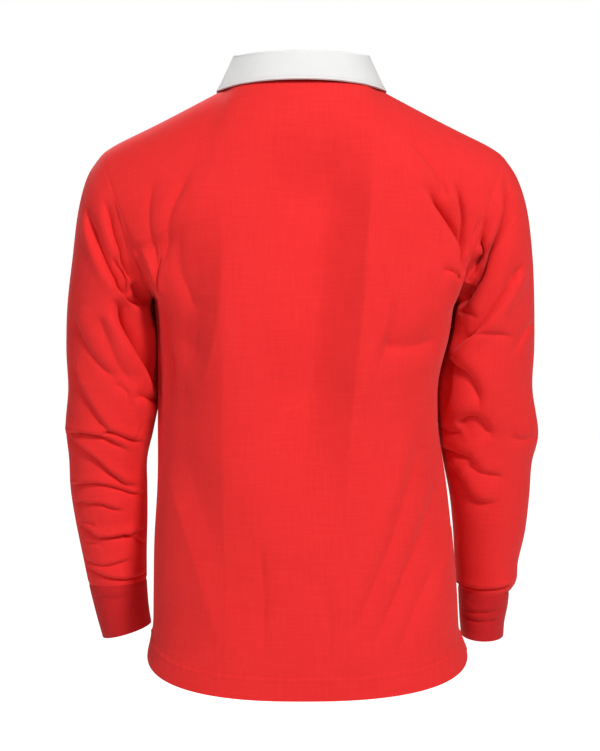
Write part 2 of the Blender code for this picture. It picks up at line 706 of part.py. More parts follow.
def wall(outer, inner, present=None, wraps=False):
    """A closed mesh between two grids, with a rim wherever a cell has no neighbour."""
    rows, columns = outer.shape[:2]
    cells = columns if wraps else columns - 1
    if present is None:
        present = np.ones((rows - 1, cells), bool)
    size = rows * columns
    faces = []

    def at(row, col, side):
        return side * size + row * columns + col % columns

    def there(row, col):
        if wraps:
            col = col % cells
        return 0 <= row < rows - 1 and 0 <= col < cells and present[row, col]

    def rim(first, second):
        run = outer[second[0], second[1] % columns] - outer[first[0], first[1] % columns]
        a, b = at(*first, 0), at(*second, 0)
        c, d = at(*second, 1), at(*first, 1)
        if np.dot(run, RIM_SPLIT) < 0.0:
            faces.extend([(a, b, c), (a, c, d)])
        else:
            faces.extend([(a, b, d), (b, c, d)])

    for row in range(rows - 1):
        for col in range(cells):
            if not present[row, col]:
                continue
            corners = [(row, col), (row, col + 1), (row + 1, col + 1), (row + 1, col)]
            places = [outer[r, c % columns] for r, c in corners]
            first = np.linalg.norm(places[0] - places[2])
            second = np.linalg.norm(places[1] - places[3])
            start = 0 if first < second else 1
            ring = corners[start:] + corners[:start]
            for side in (0, 1):
                ids = [at(r, c, side) for r, c in ring]
                split = [(ids[0], ids[1], ids[2]), (ids[0], ids[2], ids[3])]
                faces.extend(split if side == 0 else [tri[::-1] for tri in split])
            if not there(row - 1, col):
                rim((row, col + 1), (row, col))
            if not there(row + 1, col):
                rim((row + 1, col), (row + 1, col + 1))
            if not there(row, col - 1):
                rim((row, col), (row + 1, col))
            if not there(row, col + 1):
                rim((row + 1, col + 1), (row, col + 1))
    return np.concatenate([outer.reshape(-1, 3), inner.reshape(-1, 3)]), faces


def material(name, colour, roughness):
    """A plain Principled material."""
    made = bpy.data.materials.new(name)
    made.use_nodes = True
    shader = made.node_tree.nodes["Principled BSDF"]
    shader.inputs["Base Color"].default_value = colour
    shader.inputs["Roughness"].default_value = roughness
    made.diffuse_color = colour
    return made


def add_mesh(collection, name, points, faces, look):
    """Makes one object, keeps only the points it uses and turns its faces outward."""
    mesh = bpy.data.meshes.new(name)
    mesh.from_pydata([tuple(point) for point in points], [], faces)
    work = bmesh.new()
    work.from_mesh(mesh)
    loose = [vert for vert in work.verts if not vert.link_faces]
    bmesh.ops.delete(work, geom=loose, context="VERTS")
    bmesh.ops.recalc_face_normals(work, faces=work.faces[:])
    work.to_mesh(mesh)
    work.free()
    mesh.materials.append(look)
    made = bpy.data.objects.new(name, mesh)
    collection.objects.link(made)
    return made


def finish_piece(collection, name, piece, look, thickness=WALL, present=None):
    """Turns a sheet into a wall of the given thickness and adds it."""
    outer = piece.points + piece.shift
    inner = outer - piece.normals * (thickness * piece.reach)[..., None]
    points, faces = wall(outer, inner, present, piece.wraps)
    return add_mesh(collection, name, points, faces, look)


def front_at(pieces, x, climb):
    """Points and normals of the front near its middle, at a place between its rows."""
    front = pieces["body_front"]
    row = LOWER_ROWS + climb * UPPER_ROWS
    low = np.minimum(np.floor(row).astype(int), LOWER_ROWS + UPPER_ROWS - 1)
    share = (row - low)[:, None, None]
    points = front.points[low] * (1.0 - share) + front.points[low + 1] * share
    normals = front.normals[low] * (1.0 - share) + front.normals[low + 1] * share
    made = np.empty((len(climb), len(x), 3))
    turned = np.empty_like(made)
    for index in range(len(climb)):
        order = np.argsort(points[index, :, 0])
        line = points[index, order]
        for axis in range(3):
            made[index, :, axis] = np.interp(x, line[:, 0], line[:, axis])
            turned[index, :, axis] = np.interp(x, line[:, 0], normals[index, order, axis])
    return made, unit(turned)


def placket_strip(pieces, outside):
    """A strip over or under the slit, made from the points of the front."""
    x = np.linspace(PLACKET_HALF_WIDTH, -PLACKET_HALF_WIDTH, PLACKET_COLUMNS)
    inner_rows = np.arange(UPPER_ROWS + 1) / UPPER_ROWS
    inner_rows = inner_rows[(inner_rows > PLACKET_BOTTOM) & (inner_rows < PLACKET_TOP)]
    climb = np.concatenate([[PLACKET_BOTTOM], inner_rows, [PLACKET_TOP]])
    points, normals = front_at(pieces, x, climb)
    if outside:
        near = points + normals * PLACKET_GAP
        return near + normals * PLACKET_WALL, near
    far = points - normals * (WALL + PLACKET_GAP)
    return far, far - normals * PLACKET_WALL


def button(place, normal):
    """A round button with a raised rim, its back just clear of the placket."""
    aside = np.cross(normal, (1.0, 0.0, 0.0))
    aside = aside / np.linalg.norm(aside)
    across = np.cross(normal, aside)
    profile = (
        (BUTTON_RADIUS * 0.86, 0.0),
        (BUTTON_RADIUS, BUTTON_HEIGHT * 0.35),
        (BUTTON_RADIUS, BUTTON_HEIGHT * 0.75),
        (BUTTON_RADIUS - BUTTON_RIM * 0.4, BUTTON_HEIGHT),
        (BUTTON_RADIUS - BUTTON_RIM, BUTTON_HEIGHT),
        (BUTTON_RADIUS - BUTTON_RIM * 1.5, BUTTON_HEIGHT - BUTTON_DISH),
    )
    points, faces = [], []
    for radius, height in profile:
        for step in range(BUTTON_SIDES):
            angle = 2.0 * math.pi * step / BUTTON_SIDES
            flat = across * math.cos(angle) + aside * math.sin(angle)
            points.append(place + flat * radius + normal * height)
    for level in range(len(profile) - 1):
        for step in range(BUTTON_SIDES):
            after = (step + 1) % BUTTON_SIDES
            low, high = level * BUTTON_SIDES, (level + 1) * BUTTON_SIDES
            faces.append((low + step, low + after, high + after, high + step))
    last = (len(profile) - 1) * BUTTON_SIDES
    faces.append(tuple(range(BUTTON_SIDES))[::-1])
    faces.append(tuple(range(last, last + BUTTON_SIDES)))
    return points, faces


def button_places(pieces):
    """The middle of the upper strip at each button's height."""
    climb = np.linspace(PLACKET_BOTTOM, PLACKET_TOP, 60)
    points, normals = front_at(pieces, np.array([0.0]), climb)
    lifted = points + normals * (PLACKET_GAP + PLACKET_WALL + SEAM_GAP)
    places = []
    for height in BUTTON_HEIGHTS:
        index = int(np.argmin(np.abs(lifted[:, 0, 2] - height)))
        places.append((lifted[index, 0], normals[index, 0]))
    return places


def cut_pieces():
    """All the sheets of the shirt, before seams and folds."""
    pieces = {}
    for face in ("back", "front"):
        points = torso_piece(face)
        pieces["body_" + face] = Piece(points, of_torso=True)
    front = pieces["body_front"].points
    back = pieces["body_back"].points
    for end in (0, -1):
        front[: LOWER_ROWS + 1, end] = back[: LOWER_ROWS + 1, end]
        front[LOWER_ROWS + UPPER_ROWS, end] = back[LOWER_ROWS + UPPER_ROWS, end]
    count = SHOULDER_COLUMNS + 1
    front[-1, :count] = back[-1, :count]
    front[-1, -count:] = back[-1, -count:]
    open_vents(back, "back")
    open_vents(front, "front")
    for side in ("left", "right"):
        sleeve = rings(SLEEVE[side], SLEEVE_ROWS, 2 * UPPER_ROWS)
        sleeve[0] = seam_ring(pieces, side)
        pieces["sleeve_" + side] = Piece(sleeve, wraps=True)
        cuff = rings(CUFF[side], CUFF_ROWS, 2 * UPPER_ROWS)
        cuff[0] = sleeve[-1]
        pieces["cuff_" + side] = Piece(cuff, wraps=True)
    return pieces


def shape_pieces():
    """The sheets with their folds, with the collar on the neckline and all seams parted."""
    pieces = cut_pieces()
    for piece in pieces.values():
        piece.find_normals()
    share_normals(pieces)
    fixed = seam_points(pieces)
    press_folds(pieces["body_back"], FOLDS["back"], fixed)
    press_folds(pieces["sleeve_left"], FOLDS["left"], fixed)
    press_folds(pieces["sleeve_right"], FOLDS["right"], fixed)
    for piece in pieces.values():
        piece.find_normals()
    pieces["collar"] = Piece(collar_piece(pieces))
    pieces["collar"].find_normals()
    share_normals(pieces)
    return pieces


def build():
    """Clears the scene and makes every piece of the shirt."""
    for old in list(bpy.data.objects):
        bpy.data.objects.remove(old, do_unlink=True)
    collection = bpy.data.collections.new(NAME)
    bpy.context.scene.collection.children.link(collection)
    pieces = shape_pieces()
    join_side_seams(pieces)
    join_shoulders(pieces)
    join_armholes(pieces)
    join_cuffs(pieces)
    join_collar(pieces)
    present = {"body_front": slit_mask(pieces["body_front"].points)}
    for name, piece in pieces.items():
        if name == "collar":
            finish_piece(collection, name, piece, material("white_twill", WHITE, 0.8), COLLAR_WALL)
            continue
        look = material("red_jersey_" + name, RED, 0.85)
        finish_piece(collection, name, piece, look, WALL, present.get(name))
    for outside, name in ((True, "placket_top"), (False, "placket_under")):
        outer, inner = placket_strip(pieces, outside)
        points, faces = wall(outer, inner)
        add_mesh(collection, name, points, faces, material("red_" + name, RED, 0.8))
    for index, (place, normal) in enumerate(button_places(pieces), start=1):
        points, faces = button(place, normal)
        name = f"button_{index}"
        add_mesh(collection, name, points, faces, material("rubber_" + name, RUBBER, 0.55))


build()
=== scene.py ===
"""Dresses the rugby shirt: knitted cloth on the form of its solids, with folds, seams and stitches.

Metres, +Z up, the front faces -Y. The pieces come from the same tables as the solids, on finer
grids, so each of them lies where its solid is.
"""

import math

import bpy
import numpy as np
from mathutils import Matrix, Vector
from mathutils.bvhtree import BVHTree

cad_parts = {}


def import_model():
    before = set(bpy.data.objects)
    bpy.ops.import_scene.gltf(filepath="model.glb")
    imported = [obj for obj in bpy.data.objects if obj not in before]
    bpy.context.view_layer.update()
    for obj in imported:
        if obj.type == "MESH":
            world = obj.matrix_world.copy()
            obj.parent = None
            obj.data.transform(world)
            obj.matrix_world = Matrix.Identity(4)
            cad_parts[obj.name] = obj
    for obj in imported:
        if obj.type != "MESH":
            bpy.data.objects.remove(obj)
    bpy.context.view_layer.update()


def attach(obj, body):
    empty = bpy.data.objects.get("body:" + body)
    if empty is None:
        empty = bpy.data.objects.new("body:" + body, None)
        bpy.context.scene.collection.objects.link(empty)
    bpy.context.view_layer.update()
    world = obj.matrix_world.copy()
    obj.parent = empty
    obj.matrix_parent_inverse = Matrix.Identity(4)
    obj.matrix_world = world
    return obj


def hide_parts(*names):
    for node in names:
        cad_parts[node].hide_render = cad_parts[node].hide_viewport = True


# The walls of cloth, the gap at each seam, the longest mitre there in wall thicknesses, and the
# angle from which an edge shows sharp.
WALL = 0.0018
COLLAR_WALL = 0.0020
PLACKET_WALL = 0.0016
SEAM_GAP = 0.0001
LONGEST_MITRE = 1.7
SHARP_EDGE = math.radians(55)
TINY = 1e-12

# The rows and columns of the grids, the part of the lower torso that the hem's rows take up, and
# how the torso is evened: in rounds that leave each point a share of its own place.
HEM_ROWS = 26
HEM_SHARE = 0.090
LOWER_ROWS = 124
UPPER_ROWS = 100
SHOULDER_COLUMNS = 54
NECK_COLUMNS = 96
SLEEVE_ROWS = 236
CUFF_ROWS = 26
COLLAR_STEPS = 6
RELAX_ROUNDS = 70
RELAX_OWN = 0.5

# The torso below the armholes, one row a level. Half widths are at the side seams, depths
# are at the middle, and the drops lower the middle of a level below its ends.
TORSO_COLUMNS = ("height", "left", "right", "back", "front", "back_drop", "front_drop", "power")
TORSO = (
    (-0.6660, 0.1825, 0.1960, 0.1230, 0.1160, -0.0405, -0.0140, 2.5),
    (-0.6400, 0.1775, 0.1872, 0.1230, 0.1160, -0.0340, -0.0110, 2.5),
    (-0.6070, 0.1768, 0.1855, 0.1220, 0.1160, -0.0250, -0.0090, 2.5),
    (-0.5360, 0.1758, 0.1800, 0.1190, 0.1170, -0.0150, -0.0080, 2.5),
    (-0.4640, 0.1718, 0.1722, 0.1170, 0.1180, -0.0120, -0.0110, 2.5),
    (-0.3900, 0.1716, 0.1620, 0.1180, 0.1210, -0.0210, -0.0210, 2.5),
    (-0.3330, 0.1714, 0.1625, 0.1215, 0.1245, -0.0350, -0.0350, 2.6),
    (-0.2850, 0.1728, 0.1755, 0.1248, 0.1270, -0.0450, -0.0450, 2.8),
    (-0.2470, 0.1758, 0.1792, 0.1260, 0.1280, -0.0500, -0.0500, 3.0),
)
COLUMN_POWER = 2.5
DROP_POWER = 2.4

# Each armhole is a tilted oval from the armpit up to the shoulder tip: the tip's and the pit's
# x and z, half its depth, and how far it is tucked in above the pit.
ARMHOLE = {
    "left": (0.2363, -0.0765, 0.1758, -0.2470, 0.072, 0.010),
    "right": (-0.2382, -0.0785, -0.1792, -0.2470, 0.072, -0.010),
}
TUCK_POWER = 4

# The torso above the armpits: its depth at the top, its roundness and how its edges bend.
UPPER_DEPTH = {"back": 0.113, "front": 0.118}
CHEST_TURN = 0.5
CHEST_POWER = 2.2
CHEST_ROUNDING = 1.2
RIDGE_POWER = 3.0
BLEND_POWER = 1.5
ARMPIT_SHARPNESS = 10.0
ARMPIT_EXTRA = 2.0
ARMPIT_REACH = 0.2

NECK_HALF_WIDTH = 0.080
NECK_SIDE_HEIGHT = 0.006
NECK_BACK_HEIGHT = 0.010
SHOULDER_BUMP = 0.08
SHOULDER_BUMP_REACH = 0.1
NECK_DEPTH = {"back": 0.062, "front": -0.085}

VENT_TOP = -0.6290
VENT_OPENING = 0.0035
FRONT_CORNER_FLARE = {"left": -0.001, "right": -0.0015}

# Rings of each sleeve from the armhole to the cuff, and of each cuff. The outer point is on
# the far side from the body, the inner point faces it. Depth is half the front-to-back size.
# The hug is how far a ring bulges towards the body's back, where it lies against the side.
RING_COLUMNS = ("outer_x", "outer_z", "inner_x", "inner_z", "depth", "centre_y", "tilt", "hug")
SLEEVE = {
    "left": (
        (*ARMHOLE["left"][:5], 0.000, 0, 0.000),
        (0.2540, -0.1040, 0.1795, -0.2530, 0.0710, 0.000, 0, 0.003),
        (0.2650, -0.1450, 0.1792, -0.2640, 0.0690, 0.000, 0, 0.007),
        (0.2720, -0.2000, 0.1756, -0.2830, 0.0660, -0.001, 0, 0.010),
        (0.2785, -0.2550, 0.1730, -0.3100, 0.0620, -0.004, 0, 0.010),
        (0.2805, -0.3080, 0.1727, -0.3450, 0.0580, -0.008, 2, 0.010),
        (0.2790, -0.3550, 0.1732, -0.3750, 0.0550, -0.014, 4, 0.009),
        (0.2830, -0.3980, 0.1785, -0.4060, 0.0520, -0.021, 6, 0.005),
        (0.2800, -0.4380, 0.1860, -0.4400, 0.0480, -0.029, 8, 0.001),
        (0.2790, -0.4760, 0.1865, -0.4750, 0.0450, -0.037, 8, 0.000),
        (0.2740, -0.5150, 0.1870, -0.5100, 0.0420, -0.045, 7, 0.000),
        (0.2665, -0.5570, 0.1885, -0.5500, 0.0390, -0.053, 6, 0.000),
        (0.2600, -0.5930, 0.1890, -0.5880, 0.0360, -0.060, 5, 0.000),
    ),
    "right": (
        (*ARMHOLE["right"][:5], 0.000, 0, 0.000),
        (-0.2560, -0.1060, -0.1832, -0.2530, 0.0710, 0.000, 0, 0.003),
        (-0.2680, -0.1450, -0.1828, -0.2650, 0.0690, 0.000, 0, 0.007),
        (-0.2745, -0.2000, -0.1786, -0.2840, 0.0660, -0.001, 0, 0.010),
        (-0.2770, -0.2550, -0.1715, -0.3130, 0.0620, -0.004, 0, 0.010),
        (-0.2775, -0.3080, -0.1648, -0.3420, 0.0580, -0.008, 2, 0.010),
        (-0.2762, -0.3550, -0.1640, -0.3730, 0.0550, -0.014, 4, 0.010),
        (-0.2845, -0.4080, -0.1660, -0.4080, 0.0510, -0.024, 7, 0.008),
        (-0.2775, -0.4450, -0.1718, -0.4450, 0.0480, -0.031, 9, 0.006),
        (-0.2755, -0.4850, -0.1795, -0.4850, 0.0450, -0.039, 10, 0.002),
        (-0.2715, -0.5280, -0.1840, -0.5250, 0.0420, -0.048, 10, 0.000),
        (-0.2640, -0.5650, -0.1865, -0.5600, 0.0395, -0.055, 10, 0.000),
        (-0.2625, -0.5880, -0.1890, -0.5830, 0.0385, -0.060, 10, 0.000),
        (-0.2540, -0.6020, -0.1915, -0.5960, 0.0350, -0.0625, 10, 0.000),
    ),
}
HUG_ANGLE = math.radians(317)
HUG_SPREAD = math.radians(25)
CUFF = {
    "left": (
        SLEEVE["left"][-1],
        (0.2560, -0.6120, 0.1885, -0.6050, 0.0345, -0.064, 5, 0.000),
        (0.2500, -0.6370, 0.1870, -0.6250, 0.0340, -0.068, 5, 0.000),
        (0.2440, -0.6600, 0.1845, -0.6430, 0.0335, -0.072, 5, 0.000),
    ),
    "right": (
        SLEEVE["right"][-1],
        (-0.2525, -0.6200, -0.1925, -0.6150, 0.0340, -0.066, 10, 0.000),
        (-0.2490, -0.6400, -0.1940, -0.6370, 0.0335, -0.070, 10, 0.000),
        (-0.2480, -0.6570, -0.1960, -0.6570, 0.0330, -0.073, 10, 0.000),
    ),
}

# The collar at stations round the neck, from the middle of the front to the middle of the
# back. It stands up from the neck seam, leans in, turns over and lies out on the body.
COLLAR_COLUMNS = ("station", "stand", "lean", "reach", "slope", "splay", "clear")
COLLAR = (
    (0.00, 0.0180, 0.0060, 0.034, 52, 50, 0.0042),
    (0.15, 0.0205, 0.0060, 0.028, 46, 28, 0.0040),
    (0.30, 0.0250, 0.0050, 0.023, 40, 10, 0.0030),
    (0.58, 0.0320, 0.0025, 0.0195, 34, 0, 0.0013),
    (0.75, 0.0275, 0.0035, 0.0215, 36, 0, 0.0013),
    (1.00, 0.0246, 0.0040, 0.0230, 31, 0, 0.0013),
)
COLLAR_TURN = 0.0036
LEAF_LIFT = 0.0035

# The collar's rows: up the stand, over the fold as shares of its turn and heights, and down.
STAND_ROWS = (0.0, 0.33, 0.66, 0.9)
FOLD_ROWS = ((0.25, 0.0010), (0.75, 0.0008), (1.0, -0.0015))
LEAF_ROWS = (0.25, 0.5, 0.75, 1.0)
TORSO_MIDDLE = Vector((0.0, 0.0, -0.3))

# The slit between two columns of the front, and the strips over and under it. The strips' ends
# are shares of the climb from the armpits to the neckline.
SLIT_HALF_WIDTH = 0.004
SLIT_ROWS = 66
SLIT_SPREAD = 0.030
SLIT_COLUMNS = (0.4999, 0.5001)
PLACKET_HALF_WIDTH = 0.016
PLACKET_COLUMNS = 25
PLACKET_TOP = 0.955
PLACKET_BOTTOM = 0.27
PLACKET_GAP = 0.0005

# The buttons: a rolled rim round a dish, with a small pit in its middle. The last number is how
# many places of the placket are tried for each height.
BUTTON_RADIUS = 0.0065
BUTTON_HEIGHT = 0.0030
BUTTON_BASE = 0.86
BUTTON_CORE = 0.001
BUTTON_RIM = 0.0014
RIM_MIDDLE = 0.62
RIM_ANGLES = range(-80, 171, 25)
BUTTON_DISH = 0.0010
DISH_SLOPE = 0.94
BUTTON_PIT = ((0.0010, 0.92), (0.0008, 0.80), (0.0001, 0.78))
BUTTON_SIDES = 56
BUTTON_HEIGHTS = (-0.084, -0.140, -0.196)
BUTTON_SEARCH = 60

# The camera, level and behind the shirt, its frame in pixels and its sensor in millimetres. One
# pixel is PIXEL metres at the shirt's middle.
PIXEL = 0.00119
CAMERA_PLACE = (0.0018, 2.2, -0.340)
FRAME_SIZE = (600, 751)
FRAME_MIDDLE = (301.5, 375.5)
SENSOR = 36.0
CAMERA_TURN = (math.radians(90), 0.0, math.radians(180))

# The creases that the camera sees, by piece. Each row has the widths of the slow and of the
# steep flank, the depth and the height of the roll of cloth at the steep flank, in millimetres,
# and then points along the crease from its deep end, in the camera's pixels. The steep flank is
# on the left of someone who walks along it, and on the right where the roll is negative. A
# negative depth lifts the cloth.
BACK_CREASES = {
    "sleeve_left": (
        (16, 4, 12, 2.6, (147, 306), (136, 302), (122, 290), (108, 273), (95, 247), (87, 224), (85, 203)),
        (16, 5, 10, 1, (139, 284), (131, 273), (120, 257), (110, 236), (105, 216), (102, 196)),
        (6, 4, 7, 0.9, (133, 297), (130, 287), (126, 277), (117, 267), (107, 256)),
        (8, 6, 9, 0, (147, 306), (145, 298), (140, 290), (133, 281)),
        (6, 6, 1.8, 0.8, (110, 290), (121, 300), (134, 314)),
        (18, 8, 3.4, 2, (98, 314), (106, 334), (114, 352), (124, 371), (138, 386)),
        (20, 8, 4.6, 2.4, (72, 314), (79, 334), (89, 352), (103, 370), (120, 384)),
        (12, 4, 4.2, 2, (71, 358), (78, 384), (90, 406), (103, 424), (120, 436)),
        (6, 6, 2.6, 0.8, (112, 385), (121, 388), (129, 395), (132, 408), (133, 420)),
        (24, 6, 20, 4.6, (157, 390), (149, 368), (135, 343), (122, 320), (111, 298)),
        (12, 6, 4.6, 1.8, (160, 402), (148, 399), (136, 393)),
        (7, 3, 6, 2.4, (60, 433), (74, 433), (88, 435), (101, 438), (117, 444), (137, 456)),
        (5, 3, 4.6, 2, (100, 434), (110, 432), (120, 435), (132, 440), (150, 443)),
        (5, 3, 3, 1, (137, 438), (143, 428), (149, 416)),
        (9, 3, 5.4, 2.4, (64, 434), (77, 445), (95, 459), (112, 474), (128, 484), (147, 485)),
        (6, 3, 4.6, 2.2, (66, 486), (84, 484), (103, 485), (120, 490), (135, 494), (150, 494)),
        (5, 3, 3.6, 1.6, (72, 500), (86, 504), (101, 505), (113, 509), (126, 512)),
        (5, 3, 2.2, 0.8, (77, 519), (86, 522), (98, 527)),
        (7, 3, 5, 2.4, (76, 522), (88, 531), (99, 538), (118, 537), (134, 533), (149, 527)),
        (4, 3, 3.2, 1, (124, 536), (134, 538), (148, 545)),
        (4, 3, 2, 0.8, (84, 541), (93, 544), (106, 546)),
        (5, 3, 2.8, 1.2, (84, 558), (95, 564), (106, 566), (120, 563), (140, 556)),
        (4, 3, 4.4, 2.2, (83, 564), (94, 572), (108, 578), (124, 580), (138, 577), (150, 571)),
        (9, 9, 2, -1.4, (133, 262), (121, 210), (118, 172)),
        (10, 10, -5, 0, (157, 322), (161, 352), (160, 384)),
    ),
    "sleeve_right": (
        (13, 5, 18, 2.6, (454, 308), (466, 289), (480, 271), (493, 248), (503, 224), (507, 200), (505, 176)),
        (11, 5, 16, 1.6, (462, 280), (472, 265), (480, 252), (479, 240), (481, 222), (489, 194)),
        (6, 4, 11, 1, (454, 288), (464, 274), (471, 264), (479, 252)),
        (14, 5, 7, 4, (524, 262), (513, 283), (500, 303), (483, 323), (466, 338), (444, 360)),
        (6, 5, 2.8, 1, (464, 341), (480, 336), (500, 335), (520, 338)),
        (6, 5, 3.4, 1.4, (536, 322), (526, 331), (519, 343), (511, 357)),
        (7, 6, 2.6, 1.4, (457, 311), (467, 312), (477, 318)),
        (20, 8, 6.4, 3.4, (444, 357), (455, 366), (468, 375), (478, 391), (482, 414)),
        (22, 8, 7, 2.4, (456, 424), (466, 418), (477, 418), (486, 427), (494, 442)),
        (6, 5, 2.6, 1.2, (440, 428), (450, 432), (463, 433)),
        (12, 6, 5, 1.8, (440, 448), (455, 454), (468, 458), (483, 467)),
        (12, 6, 3.6, 1.2, (466, 466), (482, 473), (508, 478)),
        (14, 6, 5, 2.4, (446, 462), (458, 478), (468, 494), (482, 503), (503, 502)),
        (9, 7, 2.4, -1, (538, 436), (524, 440), (508, 436)),
        (4, 3, 3, 1.4, (448, 576), (464, 586), (482, 590), (504, 588), (518, 580)),
    ),
    "body_back": (
        (15, 6, 17, 3, (467, 276), (464, 262), (460, 242), (449, 221), (436, 202), (416, 174)),
        (12, 5, 13, 2.2, (469, 256), (467, 238), (465, 214), (455, 172)),
        (7, 5, 11, 1.2, (475, 262), (478, 250), (480, 236), (482, 218)),
        (8, 5, 6, 1, (463, 282), (452, 272), (441, 270)),
        (12, 7, 4.2, 1.6, (450, 200), (432, 166), (410, 140)),
        (14, 11, 4.4, -2.4, (148, 296), (162, 248), (176, 200), (197, 158)),
        (12, 10, 3.4, -1.8, (148, 290), (147, 246), (147, 212), (154, 172)),
        (16, 12, 2, -1, (187, 312), (178, 266), (184, 222)),
        (7, 3, 6, -1.6, (150, 296), (149, 286), (151, 270), (156, 252)),
        (56, 32, 8, -0.6, (380, 343), (402, 348), (424, 346), (443, 338)),
        (14, 8, 2.8, 1.4, (352, 642), (372, 590), (392, 540), (412, 474), (426, 420)),
        (13, 8, 3, 1.4, (372, 648), (400, 590), (424, 532), (446, 474)),
        (12, 8, 2.2, 1, (396, 656), (418, 608), (442, 556)),
        (10, 14, 1.8, 0.8, (262, 660), (264, 600), (258, 530)),
        (12, 12, 1.6, -0.8, (326, 676), (330, 630), (322, 570)),
    ),
    "cuff_right": (
        (3, 3, 2, 1.2, (458, 606), (472, 612), (490, 612), (506, 606)),
        (3, 3, 2.2, 1.2, (460, 613), (474, 621), (492, 621), (506, 615)),
    ),
    "cuff_left": (
        (3, 3, 0.8, 0.5, (96, 596), (112, 599), (128, 596)),
    ),
}

# Where the cloth turns. Each row has a width and a depth in millimetres, and then points along a
# line. The cloth sinks away to the right of someone who walks along it, over that width and to
# that depth, and rises again beyond it, more slowly.
BACK_TURNS = {
    "body_back": (
        (60, 12, (214, 196), (222, 240), (222, 330), (221, 420), (222, 520)),
        (50, 7, (221, 430), (222, 520), (224, 600), (226, 690)),
        (30, 8, (222, 236), (219, 300), (210, 350), (194, 394)),
        (50, 27, (372, 116), (372, 170), (369, 230), (364, 300), (357, 370), (350, 440), (340, 560)),
        (34, 6.5, (226, 668), (200, 590), (176, 520), (158, 462)),
        (8, 5, (153, 292), (160, 335), (167, 372), (165, 406)),
        (44, 8, (460, 400), (456, 480), (450, 550), (436, 610), (414, 672)),
    ),
    "sleeve_right": (
        (11, 8, (461, 288), (455, 320), (450, 358), (451, 395), (442, 434)),
    ),
}

# The hidden front, as seen through the shirt from the same camera.
FRONT_CREASES = {
    "sleeve_left": (
        (12, 12, -7, 0, (147, 286), (153, 306), (157, 326), (160, 352)),
        (12, 5, 4.5, 1.9, (92, 214), (104, 250), (124, 284), (142, 300)),
        (13, 5, 3.6, 1.4, (76, 300), (92, 340), (118, 366)),
        (11, 5, 3.9, 1.7, (74, 372), (96, 404), (128, 424)),
        (10, 5, 3.9, 1.7, (76, 440), (104, 452), (142, 462)),
        (9, 5, 3.3, 1.4, (80, 494), (108, 506), (142, 504)),
        (8, 5, 2.7, 1.2, (88, 540), (112, 546), (142, 540)),
    ),
    "sleeve_right": (
        (10, 5, 4.5, 1.9, (508, 214), (498, 246), (478, 282), (462, 296)),
        (11, 5, 3.6, 1.4, (524, 300), (504, 338), (472, 364)),
        (9, 5, 3.9, 1.7, (526, 380), (500, 412), (468, 428)),
        (8, 5, 3.6, 1.7, (522, 446), (494, 458), (460, 468)),
        (7, 5, 3, 1.4, (516, 506), (492, 516), (462, 514)),
    ),
    "body_front": (
        (14, 5, 3.9, 1.4, (176, 176), (162, 214), (156, 262)),
        (16, 5, 3.9, 1.4, (426, 176), (444, 214), (452, 262)),
        (24, 22, 2.4, 0, (210, 300), (206, 400), (214, 520)),
        (24, 22, 2.4, 0, (392, 320), (398, 420), (388, 540)),
        (20, 18, 1.8, 0, (252, 330), (258, 450), (250, 600)),
        (20, 18, 1.8, 0, (346, 300), (342, 440), (352, 620)),
        (16, 14, 1.8, 0, (170, 440), (190, 520), (222, 620)),
    ),
}
FRONT_TURNS = {
    "body_front": (
        (34, 3.4, (232, 214), (228, 300), (232, 420)),
        (34, 3.4, (376, 420), (380, 300), (372, 214)),
    ),
}

# The side that the cloth faces, and the folds on that side.
FOLDS = ((1.0, BACK_CREASES, BACK_TURNS), (-1.0, FRONT_CREASES, FRONT_TURNS))
FACES_CAMERA = 0.1
MILLIMETRE = 0.001

# How a crease runs: its steps, the places that its line is evened over, the shares of its length
# over which it fades in and out, and the two troughs that make its section.
CREASE_STEPS = 26
EVENED_STEPS = 5
DEEP_END = 0.14
THIN_END = 0.26
BROAD_PART = 0.62
BROAD_POWER = 1.6
FINE_PART = 0.48
FINE_WIDTH = 0.34
FINE_POWER = 1.3

# The roll beside the trough, in widths of the steep flank, how far it leans over the trough and
# how much the cloth is drawn together there.
ROLL_OFFSET = 2.1
ROLL_SPREAD = 1.7
LEAN = 0.55
GATHER = 0.35
GATHER_WIDTH = 2.0

# How a turn fades at its ends, sinks, and rises again, in its own length and widths.
TURN_FADE = 0.28
TURN_POWER = 1.3
TURN_RETURN = 1.35

# Folds fade out this close to a seam, which lies in a groove.
SEAM_FADE = 0.005
GROOVE_WIDTH = 0.0042
GROOVE_DEPTH = 0.0008

# The hem: its double cloth, the ridge of its stitches and the puckers along them.
HEM_DEPTH = 0.0235
HEM_RAISE = 0.0006
HEM_EDGE = 0.002
HEM_RIDGE = 0.0009
HEM_RIDGE_WIDTH = 0.0014
PUCKER = 0.0003
PUCKER_LENGTH = 0.013
PUCKER_WIDTH = 0.006
PUCKER_SWAY = 1.7
PUCKER_DRIFT = 0.031
SECOND_PUCKER = 0.6
SECOND_LENGTH = 0.61

# The darkest and the lightest tone of each material, as linear red, green, blue and cover.
BODY_REDS = ((0.68, 0.013, 0.014, 1.0), (0.84, 0.027, 0.026, 1.0))
# The cuffs' reds are darker than the body's, partly as the doubled rib's own tone and partly as painted
# shade for the lower arms, which turn away from the light.
CUFF_REDS_WITH_PAINTED_SHADE = ((0.47, 0.007, 0.010, 1.0), (0.59, 0.013, 0.015, 1.0))
TWILL_WHITES = ((0.72, 0.72, 0.71, 1.0), (0.79, 0.79, 0.78, 1.0))
RUBBER_WHITES = ((0.66, 0.65, 0.61, 1.0), (0.76, 0.75, 0.71, 1.0))
THREAD = (0.78, 0.60, 0.585, 1.0)
WHITE = (1.0, 1.0, 1.0, 1.0)

